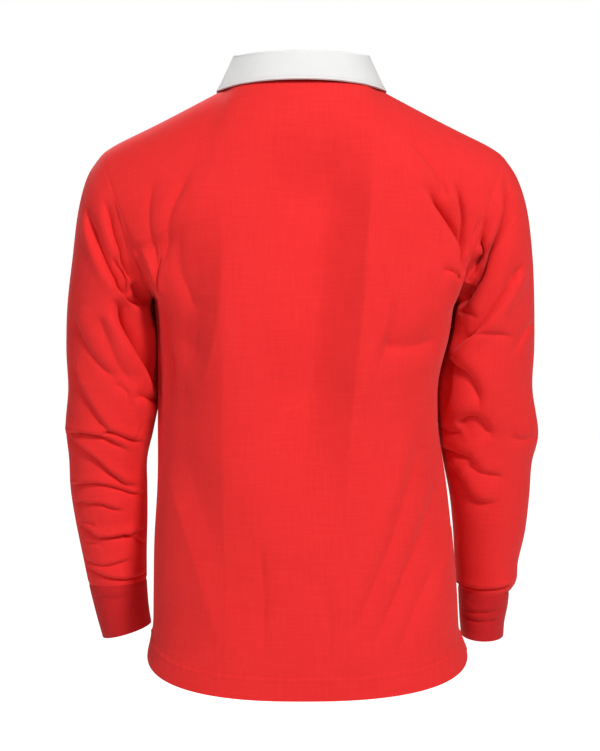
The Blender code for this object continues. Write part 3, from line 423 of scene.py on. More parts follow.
# The jersey: its wales' period and waviness, the scales of its streaks, slubs and clouds, their
# shares in its tone, how that tone is spread, and the shares of wales, streaks and slubs in the
# relief, whose height is in metres.
WALE = (0.0013, 0.6)
STREAKS = (640.0, 26.0)
SLUBS = (22.0, 520.0)
JERSEY_CLOUD = 14.0
JERSEY_TONE = (0.375, 0.375, 0.25)
JERSEY_CONTRAST = (1.5, -0.25)
JERSEY_HEIGHTS = (0.40, 0.35, 0.30)
CLOTH_RELIEF = 0.0003
JERSEY_SURFACE = {
    "Roughness": 0.9,
    "Sheen Weight": 0.12,
    "Sheen Roughness": 0.45,
    "Sheen Tint": (1.0, 0.45, 0.42, 1.0),
    "Specular IOR Level": 0.25,
}

# The twill: its ribs' period, waviness and slant, its yarn and clouds, and the shares of ribs,
# yarn and stitches in its relief.
TWILL_RIB = (0.0009, 0.3)
TWILL_SLANT = math.radians(62)
YARN = (500.0, 500.0)
TWILL_CLOUD = 22.0
TWILL_HEIGHTS = (0.5, 0.4, -1.4)
TWILL_SURFACE = {"Roughness": 0.85, "Sheen Weight": 0.08}

RUBBER_GRAIN = 900.0
RUBBER_RELIEF = 0.00006
RUBBER_SURFACE = {"Roughness": 0.5}

# The line of stitches along the collar's edge.
STITCH_INSET = 0.0038
STITCH_WIDTH = 0.0007
STITCH_LENGTH = 0.0030
STITCH_SHARE = 0.78

# A Mix node's factor, its two colours and its mixed colour, by number because the names repeat,
# and the scale at which a Wave node has a period of one.
MIX_INPUTS = (0, 6, 7)
MIX_OUTPUT = 2
WAVE_SCALE = math.pi / 10.0

# The studio: a floor at the height of a wearer's feet that the camera sees as almost white, an
# even surround, and each light's place, size and watts.
FLOOR_HEIGHT = -1.45
FLOOR_SIZE = 60.0
FLOOR_GLOW = 0.92
FLOOR_SURFACE = {
    "Roughness": 0.9,
    "Base Color": (0.93, 0.93, 0.93, 1.0),
    "Specular IOR Level": 0.0,
    "Emission Color": WHITE,
}
AMBIENT = 0.15
LIGHTS = (
    ("key_top_right", (-1.7, 3.0, 2.4), (0.7, 0.7), 166.0),
    ("fill_left", (1.8, 2.0, 0.7), (0.9, 0.9), 20.0),
    ("front_side", (1.2, -2.4, 1.4), (1.2, 1.2), 60.0),
)
LIGHT_AIM = Vector((0.0, 0.0, -0.32))


def column(table, names, name):
    """One named column of a table."""
    return np.array([row[names.index(name)] for row in table], float)


def through(knots, values, at):
    """A smooth curve through a table's values or rows, at any places between the knots."""
    slopes = np.gradient(values, knots, axis=0)
    low = np.clip(np.searchsorted(knots, at, side="right") - 1, 0, len(knots) - 2)
    shape = (-1,) + (1,) * (values.ndim - 1)
    step = (knots[low + 1] - knots[low]).reshape(shape)
    t = (at - knots[low]).reshape(shape) / step
    start = (2 * t**3 - 3 * t**2 + 1) * values[low]
    end = (3 * t**2 - 2 * t**3) * values[low + 1]
    leave = (t**3 - 2 * t**2 + t) * step * slopes[low]
    arrive = (t**3 - t**2) * step * slopes[low + 1]
    return start + leave + end + arrive


def finer(rows, steps):
    """That many even steps on a smooth curve through all the rows."""
    knots = np.arange(len(rows), dtype=float)
    return through(knots, rows, np.linspace(0.0, len(rows) - 1.0, steps + 1))


def read_table(table, names, at):
    """Every column of a table at any values of its first column, each as an upright row."""
    knots = column(table, names, names[0])
    return {name: through(knots, column(table, names, name), at)[:, None] for name in names}


def smoothstep(value):
    """An even ramp from 0 to 1."""
    t = np.clip(value, 0.0, 1.0)
    return t * t * (3.0 - 2.0 * t)


def unit(vectors):
    """The vectors at length one."""
    return vectors / np.maximum(np.linalg.norm(vectors, axis=-1, keepdims=True), TINY)


def armhole_point(side, angle):
    """Points of an armhole, from the armpit at 0 by the back to the shoulder tip at pi."""
    tip_x, tip_z, pit_x, pit_z, depth, tuck = ARMHOLE[side]
    rise = (1.0 - np.cos(angle)) / 2.0
    x = pit_x + (tip_x - pit_x) * rise + tuck * np.sqrt(rise) * (1.0 - rise) ** TUCK_POWER
    z = pit_z + (tip_z - pit_z) * rise
    return np.stack([x, depth * np.sin(angle), z], axis=-1)


def lower_levels(face, heights, across):
    """The torso below the armpits. Across runs from +1 at the left seam to -1."""
    read = read_table(TORSO, TORSO_COLUMNS, heights)
    part = np.abs(across)[None, :]
    x = np.where(across[None, :] > 0.0, read["left"], read["right"]) * across[None, :]
    y = read[face] * (1.0 - part ** read["power"]) ** (1.0 / read["power"])
    drop = read[face + "_drop"] * (1.0 - part**DROP_POWER) ** (1.0 / DROP_POWER)
    z = heights[:, None] + drop
    y = y if face == "back" else -y
    return np.stack([x, y, z], axis=-1)


def neckline(face, angle):
    """A neckline point, from the left shoulder seam at 0 to the right one at pi."""
    x = NECK_HALF_WIDTH * math.cos(angle)
    y = NECK_DEPTH[face] * math.sin(angle)
    if face == "back":
        return x, y, NECK_SIDE_HEIGHT + (NECK_BACK_HEIGHT - NECK_SIDE_HEIGHT) * math.sin(angle)
    pit = TORSO[-1][0]
    level = (1.0 - (y / UPPER_DEPTH["front"]) ** 2) ** (1.0 / RIDGE_POWER)
    return x, y, pit + (NECK_SIDE_HEIGHT - pit) * level


def shoulder_line(side, share):
    """A point of a shoulder seam, from the tip at 0 to the neck at 1."""
    tip_x, tip_z = ARMHOLE[side][:2]
    neck_x = math.copysign(NECK_HALF_WIDTH, tip_x)
    bump = SHOULDER_BUMP * share * math.exp(-share / SHOULDER_BUMP_REACH)
    z = tip_z + (NECK_SIDE_HEIGHT - tip_z) * share + bump
    return tip_x + (neck_x - tip_x) * share, 0.0, z


def top_line(face, columns):
    """The shoulder seams and the neckline between them."""
    edge = SHOULDER_COLUMNS / (2 * SHOULDER_COLUMNS + NECK_COLUMNS)
    points = []
    for place in columns:
        if place < edge:
            points.append(shoulder_line("left", place / edge))
        elif place > 1.0 - edge:
            points.append(shoulder_line("right", (1.0 - place) / edge))
        else:
            points.append(neckline(face, math.pi * (place - edge) / (1.0 - 2.0 * edge)))
    return np.array(points)


def armhole_edges(face, climb, across):
    """The armhole point at the level and on the side of each place, and the tip above it."""
    left, right = (armhole_point(side, math.pi * climb) for side in ("left", "right"))
    if face == "front":
        left[:, 1] *= -1.0
        right[:, 1] *= -1.0
    on_left = across[None, :, None] > 0.0
    ends = np.where(on_left, left[:, None, :], right[:, None, :])
    return ends, np.where(on_left, left[-1], right[-1])


def upper_depth(face, rise, part, edge, top):
    """How far out the upper torso lies: swollen in the middle, flush with its edges outside."""
    turn = smoothstep(rise / CHEST_TURN)
    low_power = column(TORSO, TORSO_COLUMNS, "power")[-1]
    power = low_power + (CHEST_POWER - low_power) * turn
    rounding = low_power + (CHEST_ROUNDING - low_power) * turn
    swell = (1.0 - part**power) ** (1.0 / rounding)
    sign = 1.0 if face == "back" else -1.0
    low_depth = column(TORSO, TORSO_COLUMNS, face)[-1]
    depth = sign * (low_depth + (UPPER_DEPTH[face] - low_depth) * smoothstep(rise))
    ridge = 1.0 - np.sqrt(1.0 - rise**RIDGE_POWER)
    extra = ARMPIT_EXTRA * (1.0 - smoothstep(rise / ARMPIT_REACH))
    sharp = ARMPIT_SHARPNESS * (1.0 + extra)
    near_edge = turn * (1.0 - swell) + (1.0 - turn) * part**sharp
    return edge * near_edge + (1.0 - ridge) * depth * swell + ridge * top


def upper_levels(face, climb, across, columns):
    """The torso from the armpits, where climb is 0, to the shoulder seams, where it is 1."""
    rise = ((1.0 - np.cos(math.pi * climb)) / 2.0)[:, None]
    top = top_line(face, columns)[None, :, :]
    ends, tips = armhole_edges(face, climb, across)
    blend = rise**BLEND_POWER
    x = (1.0 - blend) * np.abs(across)[None, :] * ends[..., 0]
    x = x + blend * top[..., 0] * ends[..., 0] / tips[..., 0]
    part = np.clip(np.abs(x / ends[..., 0]), 0.0, 1.0)
    y = upper_depth(face, rise, part, ends[..., 1], top[..., 1])
    low_drop = column(TORSO, TORSO_COLUMNS, face + "_drop")[-1]
    drop = low_drop * (1.0 - part**DROP_POWER) ** (1.0 / DROP_POWER)
    z = ends[..., 2] + drop * (1.0 - rise) ** BLEND_POWER + (top[..., 2] - tips[..., 2]) * rise
    return np.stack([x, y, z], axis=-1)


def column_places(face):
    """Where the columns of a torso piece stand, from 0 at the left seam to 1."""
    count = 2 * SHOULDER_COLUMNS + NECK_COLUMNS
    places = np.arange(count + 1) / count
    if face == "back":
        return places
    middle = count // 2
    return np.concatenate([places[:middle], SLIT_COLUMNS, places[middle + 1 :]])


def lower_shares():
    """How far up each row below the armpits stands, with most rows at the hem."""
    hem = HEM_SHARE * np.arange(HEM_ROWS) / HEM_ROWS
    count = LOWER_ROWS - HEM_ROWS
    rest = HEM_SHARE + (1.0 - HEM_SHARE) * np.arange(count) / count
    return np.concatenate([hem, rest])


def relax(points, rounds):
    """Evens out the inside of a grid, and leaves its border as it is."""
    for _ in range(rounds):
        inside = points[1:-1, 1:-1]
        around = points[:-2, 1:-1] + points[2:, 1:-1] + points[1:-1, :-2] + points[1:-1, 2:]
        points[1:-1, 1:-1] = RELAX_OWN * inside + (1.0 - RELAX_OWN) / 4.0 * around


def torso_piece(face):
    """The outer grid of the back or the front, rows from the hem to the shoulders."""
    columns = column_places(face)
    turn = np.cos(math.pi * columns)
    across = np.sign(turn) * np.abs(turn) ** (2.0 / COLUMN_POWER)
    hem = TORSO[0][0]
    pit = TORSO[-1][0]
    heights = hem + (pit - hem) * lower_shares()
    climb = np.arange(UPPER_ROWS + 1) / UPPER_ROWS
    lower = lower_levels(face, heights, across)
    upper = upper_levels(face, climb, across, columns)
    points = np.concatenate([lower, upper])
    relax(points[HEM_ROWS:], RELAX_ROUNDS)
    if face == "front":
        x = points[:, 1:-1, 0]
        side = np.where(np.arange(x.shape[1]) < x.shape[1] // 2, 1.0, -1.0)
        points[:, 1:-1, 0] = x + side * SLIT_HALF_WIDTH * np.exp(-((x / SLIT_SPREAD) ** 2))
    return points


def open_vents(points, face):
    """Parts the side edges below the vents."""
    sign = 1.0 if face == "back" else -1.0
    hem = TORSO[0][0]
    for end in (0, -1):
        height = points[: LOWER_ROWS + 1, end, 2]
        below = np.clip((VENT_TOP - height) / (VENT_TOP - hem), 0.0, 1.0)
        points[: LOWER_ROWS + 1, end, 1] += sign * VENT_OPENING * np.sqrt(below)
        if face == "front":
            flare = FRONT_CORNER_FLARE["left" if end == 0 else "right"]
            points[: LOWER_ROWS + 1, end, 0] += flare * below


def rings(table, rows, around):
    """Rings through a table, each starting underneath and going round by the back."""
    read = dict(zip(RING_COLUMNS, finer(np.array(table, float), rows).T[:, :, None]))
    angle = 2.0 * math.pi * np.arange(around)[None, :] / around
    share = (1.0 - np.cos(angle)) / 2.0
    tilt = np.radians(read["tilt"])
    side = read["depth"] * np.sin(angle)
    from_hug = (angle - HUG_ANGLE + math.pi) % (2.0 * math.pi) - math.pi
    bulge = np.sign(read["inner_x"]) * read["hug"] * np.exp(-((from_hug / HUG_SPREAD) ** 2))
    x = read["inner_x"] + (read["outer_x"] - read["inner_x"]) * share - bulge
    y = read["centre_y"] + side * np.cos(tilt)
    z = read["inner_z"] + (read["outer_z"] - read["inner_z"]) * share - side * np.sin(tilt)
    return np.stack([x, y, z], axis=-1)


def seam_ring(pieces, side):
    """The armhole points in the order of a sleeve ring, read from the torso pieces."""
    end = 0 if side == "left" else -1
    back = pieces["body_back"].points[LOWER_ROWS:, end]
    front = pieces["body_front"].points[LOWER_ROWS:, end]
    return np.concatenate([back, front[-2:0:-1]])


class Piece:
    """A sheet of cloth as a grid of outer points, with what its seams do to it."""

    def __init__(self, points, wraps=False, of_torso=False):
        self.points = points
        self.wraps = wraps
        self.of_torso = of_torso
        self.normals = None
        self.shift = np.zeros_like(points)
        self.reach = np.ones(points.shape[:2])

    def find_normals(self):
        """Outward normals from the neighbours of each point."""
        down = np.gradient(self.points, axis=0)
        if self.wraps:
            along = np.roll(self.points, -1, axis=1) - np.roll(self.points, 1, axis=1)
        else:
            along = np.gradient(self.points, axis=1)
        normals = unit(np.cross(along, down))
        from_middle = self.points[0] - self.points[0].mean(axis=0)
        if np.sum(normals[0] * from_middle) < 0.0:
            normals = -normals
        self.normals = normals


def share_normals(pieces):
    """Gives each point that several pieces hold one normal and one mitre length."""
    found = {}
    for piece in pieces.values():
        for place in border(piece):
            key = piece.points[place].tobytes()
            found.setdefault(key, []).append((piece, place))
    for holders in found.values():
        if len(holders) < 2:
            continue
        torso = [held.normals[place] for held, place in holders if held.of_torso]
        others = [held.normals[place] for held, place in holders if not held.of_torso]
        sides = others + ([unit(sum(torso))] if torso and others else torso)
        total = sum(sides)
        length = np.linalg.norm(total)
        for piece, place in holders:
            piece.normals[place] = total / length
            piece.reach[place] = min(len(sides) / length, LONGEST_MITRE)


def border(piece):
    """The places of a grid's outer rows and columns."""
    rows, columns = piece.points.shape[:2]
    places = {(row, col) for row in (0, rows - 1) for col in range(columns)}
    if not piece.wraps:
        places |= {(row, col) for col in (0, columns - 1) for row in range(rows)}
    return sorted(places)


def pull_back(pieces, holders, closed=False):
    """Moves the pieces of one seam half a gap back from it, each into itself."""
    name, places = holders[0]
    line = np.array([pieces[name].points[place] for place in places])
    normals = np.array([pieces[name].normals[place] for place in places])
    if closed:
        tangent = np.roll(line, -1, axis=0) - np.roll(line, 1, axis=0)
    else:
        tangent = np.gradient(line, axis=0)
    aside = unit(np.cross(unit(tangent), normals))
    for name, places in holders:
        piece = pieces[name]
        inside = np.array([inner_neighbour(piece, place) for place in places])
        sign = np.sign(np.sum(aside * (inside - line)))
        for place, step in zip(places, aside):
            piece.shift[place] += sign * step * SEAM_GAP / 2.0


def inner_neighbour(piece, place):
    """The point next to a border point, inside the grid."""
    rows, columns = piece.points.shape[:2]
    row = min(max(place[0], 1), rows - 2)
    col = place[1] if piece.wraps else min(max(place[1], 1), columns - 2)
    return piece.points[row, col]


def side_seam(end):
    """The places of a side seam above its vent."""
    hem = TORSO[0][0]
    pit = TORSO[-1][0]
    share = (VENT_TOP - hem) / (pit - hem)
    first = int(np.argmax(np.append(lower_shares(), 1.0) >= share))
    return [(row, end) for row in range(first, LOWER_ROWS + 1)]


def last_column(piece):
    """The number of a grid's last column."""
    return piece.points.shape[1] - 1


def armhole_places(end):
    """The places of an armhole in a torso piece, from the armpit to the shoulder tip."""
    return [(row, end) for row in range(LOWER_ROWS, LOWER_ROWS + UPPER_ROWS + 1)]


def join_torso(pieces):
    """The side seams above the vents, and the shoulder seams from the tips to the neck."""
    top = LOWER_ROWS + UPPER_ROWS
    steps = range(SHOULDER_COLUMNS + 1)
    for left in (True, False):
        sides, shoulders = [], []
        for name in ("body_back", "body_front"):
            last = last_column(pieces[name])
            sides.append((name, side_seam(0 if left else last)))
            shoulders.append((name, [(top, step if left else last - step) for step in steps]))
        pull_back(pieces, sides)
        pull_back(pieces, shoulders)


def join_armholes(pieces):
    """Each sleeve's first ring is sewn to the back by one half and the front by the other."""
    around = 2 * UPPER_ROWS
    for side in ("left", "right"):
        sleeve = "sleeve_" + side
        ring = [(0, col) for col in range(around)]
        pull_back(pieces, [(sleeve, ring)], closed=True)
        for name in ("body_back", "body_front"):
            end = 0 if side == "left" else last_column(pieces[name])
            turn = 1 if name == "body_back" else -1
            for step, place in enumerate(armhole_places(end)):
                col = (turn * step) % around
                pieces[name].shift[place] -= pieces[sleeve].shift[0, col]


def join_cuffs(pieces):
    """Each cuff starts where its sleeve ends."""
    for side in ("left", "right"):
        last = pieces["sleeve_" + side].points.shape[0] - 1
        around = pieces["sleeve_" + side].points.shape[1]
        holders = [
            ("sleeve_" + side, [(last, col) for col in range(around)]),
            ("cuff_" + side, [(0, col) for col in range(around)]),
        ]
        pull_back(pieces, holders, closed=True)


def show_at(points):
    """Where points show in the camera's frame, in its pixels."""
    scale = PIXEL * (CAMERA_PLACE[1] - points[:, 1]) / CAMERA_PLACE[1]
    across = FRAME_MIDDLE[0] - points[:, 0] / scale
    down = FRAME_MIDDLE[1] - (points[:, 2] - CAMERA_PLACE[2]) / scale
    return np.stack([across, down], axis=1)


def crease_line(pixels, faces):
    """The places of a crease on the cloth that faces the given way."""
    path = finer(np.array(pixels, float), CREASE_STEPS)
    shown = show_at(faces)
    nearest = [np.argmin(np.sum((shown - place) ** 2, axis=1)) for place in path]
    y = np.pad(faces[nearest, 1], EVENED_STEPS // 2, mode="edge")
    y = np.convolve(y, np.ones(EVENED_STEPS) / EVENED_STEPS, "valid")
    scale = PIXEL * (CAMERA_PLACE[1] - y) / CAMERA_PLACE[1]
    x = (FRAME_MIDDLE[0] - path[:, 0]) * scale
    z = CAMERA_PLACE[2] + (FRAME_MIDDLE[1] - path[:, 1]) * scale
    return np.stack([x, y, z], axis=1)


def beside(points, line):
    """How far points lie from a line, positive to its right, the share along it, and its right."""
    best = np.full(len(points), np.inf)
    along = np.zeros(len(points))
    side = np.ones(len(points))
    right = np.zeros((len(points), 3))
    count = len(line) - 1
    for step in range(count):
        start, run = line[step], line[step + 1] - line[step]
        t = np.clip((points - start) @ run / (run @ run), 0.0, 1.0)
        off = points - start - t[:, None] * run
        gap = np.linalg.norm(off, axis=1)
        closer = gap < best
        best[closer] = gap[closer]
        along[closer] = (step + t[closer]) / count
        across = unit(np.array((-run[2], 0.0, run[0])))
        side[closer] = np.where(off[closer] @ across >= 0.0, 1.0, -1.0)
        right[closer] = across
    return best * side, along, right


def crease_push(points, row, faces):
    """How far one crease pushes each point in, and how it draws the cloth over the trough."""
    slow, steep, depth, roll = [value * MILLIMETRE for value in row[:4]]
    gap, along, aside = beside(points, crease_line(row[4:], faces))
    turn = -1.0 if roll < 0.0 else 1.0
    gap, aside = gap * turn, aside * turn
    fade = smoothstep(along / DEEP_END) * smoothstep((1.0 - along) / THIN_END)
    share = np.abs(gap / np.where(gap > 0.0, slow, steep))
    broad = BROAD_PART * np.exp(-(share**BROAD_POWER))
    trough = (broad + FINE_PART * np.exp(-((share / FINE_WIDTH) ** FINE_POWER))) * depth
    lifted = abs(roll) * np.exp(-(((gap + ROLL_OFFSET * steep) / (ROLL_SPREAD * steep)) ** 2))
    gathered = gap * np.exp(-((gap / (GATHER_WIDTH * steep)) ** 2)) * (depth > 0.0)
    pulled = fade * (LEAN * lifted - GATHER * gathered)
    return fade * (trough - lifted), aside * pulled[:, None]


def turn_depth(points, row, faces):
    """How far the cloth sinks beside a line at which it turns away."""
    width, depth = [value * MILLIMETRE for value in row[:2]]
    gap, along, _ = beside(points, crease_line(row[2:], faces))
    share = np.maximum(gap, 0.0) / width
    sinking = 1.0 - np.clip(1.0 - share, 0.0, 1.0) ** TURN_POWER
    rising = np.exp(-((np.maximum(share - 1.0, 0.0) / TURN_RETURN) ** 2))
    fade = smoothstep(along / TURN_FADE) * smoothstep((1.0 - along) / TURN_FADE)
    return fade * depth * sinking * rising


def press_folds(name, piece, near):
    """Pushes the creases and turns of one piece into its outer points."""
    flat = piece.points.reshape(-1, 3)
    normals = piece.normals.reshape(-1, 3)
    depth = np.zeros(len(flat))
    drawn = np.zeros((len(flat), 3))
    for toward, creases, turns in FOLDS:
        faces = flat[normals[:, 1] * toward > FACES_CAMERA]
        for row in creases.get(name, ()):
            pushed, shifted = crease_push(flat, row, faces)
            depth += pushed
            drawn += shifted
        for row in turns.get(name, ()):
            depth += turn_depth(flat, row, faces)
    free = smoothstep(near / SEAM_FADE)
    drawn -= normals * np.sum(drawn * normals, axis=1)[:, None]
    depth = depth * free + GROOVE_DEPTH * (1.0 - smoothstep(near / GROOVE_WIDTH))
    moved = flat - normals * depth[:, None] + drawn * free[:, None]
    piece.points = moved.reshape(piece.points.shape)


def lengths(points, axis):
    """The length of cloth from the grid's start to each point, along one of its axes."""
    steps = np.linalg.norm(np.diff(points, axis=axis), axis=2)
    zero = np.zeros_like(steps[:1] if axis == 0 else steps[:, :1])
    return np.concatenate([zero, np.cumsum(steps, axis=axis)], axis=axis)


def press_hem(piece):
    """Lifts the double cloth of the hem and the puckered ridge that its stitches make."""
    up = lengths(piece.points, 0)
    across = lengths(piece.points, 1)
    from_stitches = up - HEM_DEPTH
    band = HEM_RAISE * (1.0 - smoothstep(from_stitches / HEM_EDGE + 0.5))
    ridge = HEM_RIDGE * np.exp(-((from_stitches / HEM_RIDGE_WIDTH) ** 2))
    turns = 2.0 * math.pi * across / PUCKER_LENGTH
    wave = np.sin(turns + PUCKER_SWAY * np.sin(across / PUCKER_DRIFT))
    wave = wave + SECOND_PUCKER * np.sin(turns / SECOND_LENGTH)
    pucker = PUCKER * wave * np.exp(-((from_stitches / PUCKER_WIDTH) ** 2))
    piece.points = piece.points + piece.normals * (band + ridge + pucker)[..., None]


def seam_lines(pieces):
    """The points of the armholes, the side seams, the shoulder seams and the cuff seams."""
    sleeves = [pieces["sleeve_left"].points, pieces["sleeve_right"].points]
    back = pieces["body_back"].points
    lines = [sleeve[0] for sleeve in sleeves] + [sleeve[-1] for sleeve in sleeves]
    seam = [row for row, _ in side_seam(0)]
    lines += [back[seam, 0], back[seam, -1], back[-1]]
    return np.concatenate(lines)


def nearest_seam(points, seams):
    """The distance of each point from the nearest seam."""
    near = np.full(len(points), np.inf)
    for place in seams:
        near = np.minimum(near, np.sum((points - place) ** 2, axis=1))
    return np.sqrt(near)


def neck_line(pieces):
    """The neckline from the left of the slit round by the back to its right."""
    top = LOWER_ROWS + UPPER_ROWS
    front = pieces["body_front"]
    back = pieces["body_back"]
    first, last = SHOULDER_COLUMNS, last_column(front) - SHOULDER_COLUMNS
    middle = front.points.shape[1] // 2
    left = [("body_front", (top, col)) for col in range(middle - 1, first, -1)]
    rear = [("body_back", (top, col)) for col in range(first, last_column(back) - first + 1)]
    right = [("body_front", (top, col)) for col in range(last - 1, middle - 1, -1)]
    return left + rear + right


def neck_base(pieces):
    """The points of the neckline, each exactly as the body has it."""
    return np.array([pieces[name].points[place] for name, place in neck_line(pieces)])


def neck_corners(pieces):
    """Where the shoulder seams meet the neckline, as places along it."""
    first = pieces["body_front"].points.shape[1] // 2 - 1 - SHOULDER_COLUMNS
    return (first, first + NECK_COLUMNS)


def body_tree(pieces):
    """The outer points of the torso as a surface that can be measured from above."""
    corners, faces = [], []
    for name in ("body_back", "body_front"):
        grid = pieces[name].points
        rows, columns = grid.shape[:2]
        first = len(corners)
        corners.extend(Vector(point) for point in grid.reshape(-1, 3))
        for row in range(rows - 1):
            for col in range(columns - 1):
                low = first + row * columns + col
                faces.append((low, low + 1, low + columns + 1, low + columns))
    return BVHTree.FromPolygons(corners, faces)


def lay_on(rows, tree, clear):
    """Moves out the points of the leaf that would lie closer to the body than the clearance."""
    for row in rows:
        for index, point in enumerate(row):
            place, normal = tree.find_nearest(Vector(point))[:2]
            if normal.dot(place - TORSO_MIDDLE) < 0.0:
                normal = -normal
            if (Vector(point) - place).dot(normal) < clear[index]:
                row[index] = place + normal * clear[index]


def turned(directions, angle):
    """Level directions, each turned about the upright by its own angle."""
    x, y = directions[:, 0], directions[:, 1]
    turned_x = x * np.cos(angle) - y * np.sin(angle)
    turned_y = x * np.sin(angle) + y * np.cos(angle)
    return np.stack([turned_x, turned_y, np.zeros_like(x)], axis=1)


def collar_piece(pieces):
    """The collar's outer side: up the stand, over the fold and down under the leaf."""
    base = neck_base(pieces)
    front = NECK_DEPTH["front"]
    station = (base[:, 1] - front) / (NECK_DEPTH["back"] - front)
    read = read_table(COLLAR, COLLAR_COLUMNS, station)
    upward = np.array([0.0, 0.0, 1.0])
    away = unit(base * np.array([1.0, 1.0, 0.0]))
    splayed = turned(away, np.radians(read["splay"][:, 0]) * np.sign(base[:, 0]))
    crest = base - away * read["lean"] + upward * read["stand"]
    fall = np.tan(np.radians(read["slope"])) * read["reach"]
    leaf = base + splayed * read["reach"] + upward * (LEAF_LIFT - fall)
    rows = [base + (crest - base) * share for share in STAND_ROWS]
    rows += [crest + away * COLLAR_TURN * out + upward * up for out, up in FOLD_ROWS]
    start = rows[-1]
    leaf_rows = [start + (leaf - start) * share for share in LEAF_ROWS]
    lay_on(leaf_rows, body_tree(pieces), read["clear"][:, 0])
    return np.array(rows + leaf_rows)


def join_collar(pieces):
    """The collar and the body stop half a gap short of the neckline."""
    top = LOWER_ROWS + UPPER_ROWS
    places = [(0, col) for col in range(pieces["collar"].points.shape[1])]
    pull_back(pieces, [("collar", places)])
    last = last_column(pieces["body_front"])
    corners = dict(zip(neck_corners(pieces), (SHOULDER_COLUMNS, last - SHOULDER_COLUMNS)))
    for index, (name, place) in enumerate(neck_line(pieces)):
        step = pieces["collar"].shift[0, index]
        pieces[name].shift[place] -= step
        if index in corners:
            pieces["body_front"].shift[top, corners[index]] -= step


def slit_mask(points):
    """The cells of the front that stay: all but the slit for the placket."""
    present = np.ones((points.shape[0] - 1, points.shape[1] - 1), bool)
    middle = points.shape[1] // 2
    present[-SLIT_ROWS:, middle - 1] = False
    return present


def cloth_map(points, wraps):
    """Where each grid point lies on the flat cloth, in metres from its middle column."""
    ring = np.concatenate([points, points[:, :1]], axis=1) if wraps else points
    across = lengths(ring, 1)
    middle = ring.shape[1] // 2
    across = across - across[:, middle : middle + 1]
    up = np.repeat(lengths(ring, 0)[:, middle : middle + 1], ring.shape[1], axis=1)
    return np.stack([across, up], axis=-1)


def wall_faces(present, wraps):
    """The faces between two grids as (row, column, side) corners: both sides and each rim."""
    row, col = np.nonzero(present)
    padded = np.pad(present, 1)
    if wraps:
        padded[:, 0] = padded[:, -2]
        padded[:, -1] = padded[:, 1]
    corners = [(row, col), (row, col + 1), (row + 1, col + 1), (row + 1, col)]
    near = np.zeros_like(row)

    def face(picks):
        """Every cell's face through the picked corners, each with its side of the wall."""
        return np.stack([np.stack([*corners[which], near + side], 1) for which, side in picks], 1)

    sheets = [face([(0, 0), (1, 0), (2, 0), (3, 0)]), face([(3, 1), (2, 1), (1, 1), (0, 1)])]
    for down, over, first, second in ((-1, 0, 1, 0), (1, 0, 3, 2), (0, -1, 0, 3), (0, 1, 2, 1)):
        open_edge = ~padded[row + 1 + down, col + 1 + over]
        sheets.append(face([(first, 0), (second, 0), (second, 1), (first, 1)])[open_edge])
    return np.concatenate(sheets)


def add_object(name, data):
    """A new object in the scene."""
    made = bpy.data.objects.new(name, data)
    bpy.context.scene.collection.objects.link(made)
    return made


def smooth_mesh(name, points, faces, look):
    """A smoothly shaded mesh of one material."""
    mesh = bpy.data.meshes.new(name)
    mesh.from_pydata(points, [], faces)
    mesh.polygons.foreach_set("use_smooth", np.ones(len(faces), bool))
    mesh.materials.append(look)
    return mesh


def cloth_object(name, piece, thickness, look, present=None, flat_map=None):
    """A thin closed wall of cloth from a sheet, with its flat lie as its UV map."""
    outer = piece.points + piece.shift
    inner = outer - piece.normals * (thickness * piece.reach)[..., None]
    rows, columns = outer.shape[:2]
    if present is None:
        present = np.ones((rows - 1, columns if piece.wraps else columns - 1), bool)
    if flat_map is None:
        flat_map = cloth_map(piece.points, piece.wraps)
    corners = wall_faces(present, piece.wraps)
    ids = corners[..., 2] * rows * columns + corners[..., 0] * columns + corners[..., 1] % columns
    points = np.concatenate([outer.reshape(-1, 3), inner.reshape(-1, 3)])
    first = points[ids[0]]
    if np.cross(first[1] - first[0], first[2] - first[0]) @ piece.normals[0, 0] < 0.0:
        ids = ids[:, ::-1]
        corners = corners[:, ::-1]
    used, where = np.unique(ids, return_inverse=True)
    mesh = smooth_mesh(name, points[used].tolist(), where.reshape(ids.shape).tolist(), look)
    layer = mesh.uv_layers.new(name="flat_cloth")
    layer.data.foreach_set("uv", flat_map[corners[..., 0], corners[..., 1]].ravel())
    mesh.set_sharp_from_angle(angle=SHARP_EDGE)
    return add_object(name, mesh)


def front_at(pieces, x, climb):
    """Points and normals of the front near its middle, at places between its rows."""
    front = pieces["body_front"]
    row = LOWER_ROWS + climb * UPPER_ROWS
    low = np.minimum(np.floor(row).astype(int), LOWER_ROWS + UPPER_ROWS - 1)
    share = (row - low)[:, None, None]
    both = np.concatenate([front.points, front.normals], axis=2)
    between = both[low] * (1.0 - share) + both[low + 1] * share
    made = np.empty((len(climb), len(x), both.shape[2]))
    for index, level in enumerate(between):
        level = level[np.argsort(level[:, 0])]
        for axis in range(both.shape[2]):
            made[index, :, axis] = np.interp(x, level[:, 0], level[:, axis])
    return made[..., :3], unit(made[..., 3:])


def placket_strip(pieces, outside):
    """A strip over or under the slit as a sheet, made from the points of the front."""
    x = np.linspace(PLACKET_HALF_WIDTH, -PLACKET_HALF_WIDTH, PLACKET_COLUMNS)
    inner_rows = np.arange(2 * UPPER_ROWS + 1) / (2 * UPPER_ROWS)
    inner_rows = inner_rows[(inner_rows > PLACKET_BOTTOM) & (inner_rows < PLACKET_TOP)]
    climb = np.concatenate([[PLACKET_BOTTOM], inner_rows, [PLACKET_TOP]])
    points, normals = front_at(pieces, x, climb)
    lift = PLACKET_GAP + PLACKET_WALL if outside else -(WALL + PLACKET_GAP)
    strip = Piece(points + normals * lift)
    strip.normals = normals
    return strip


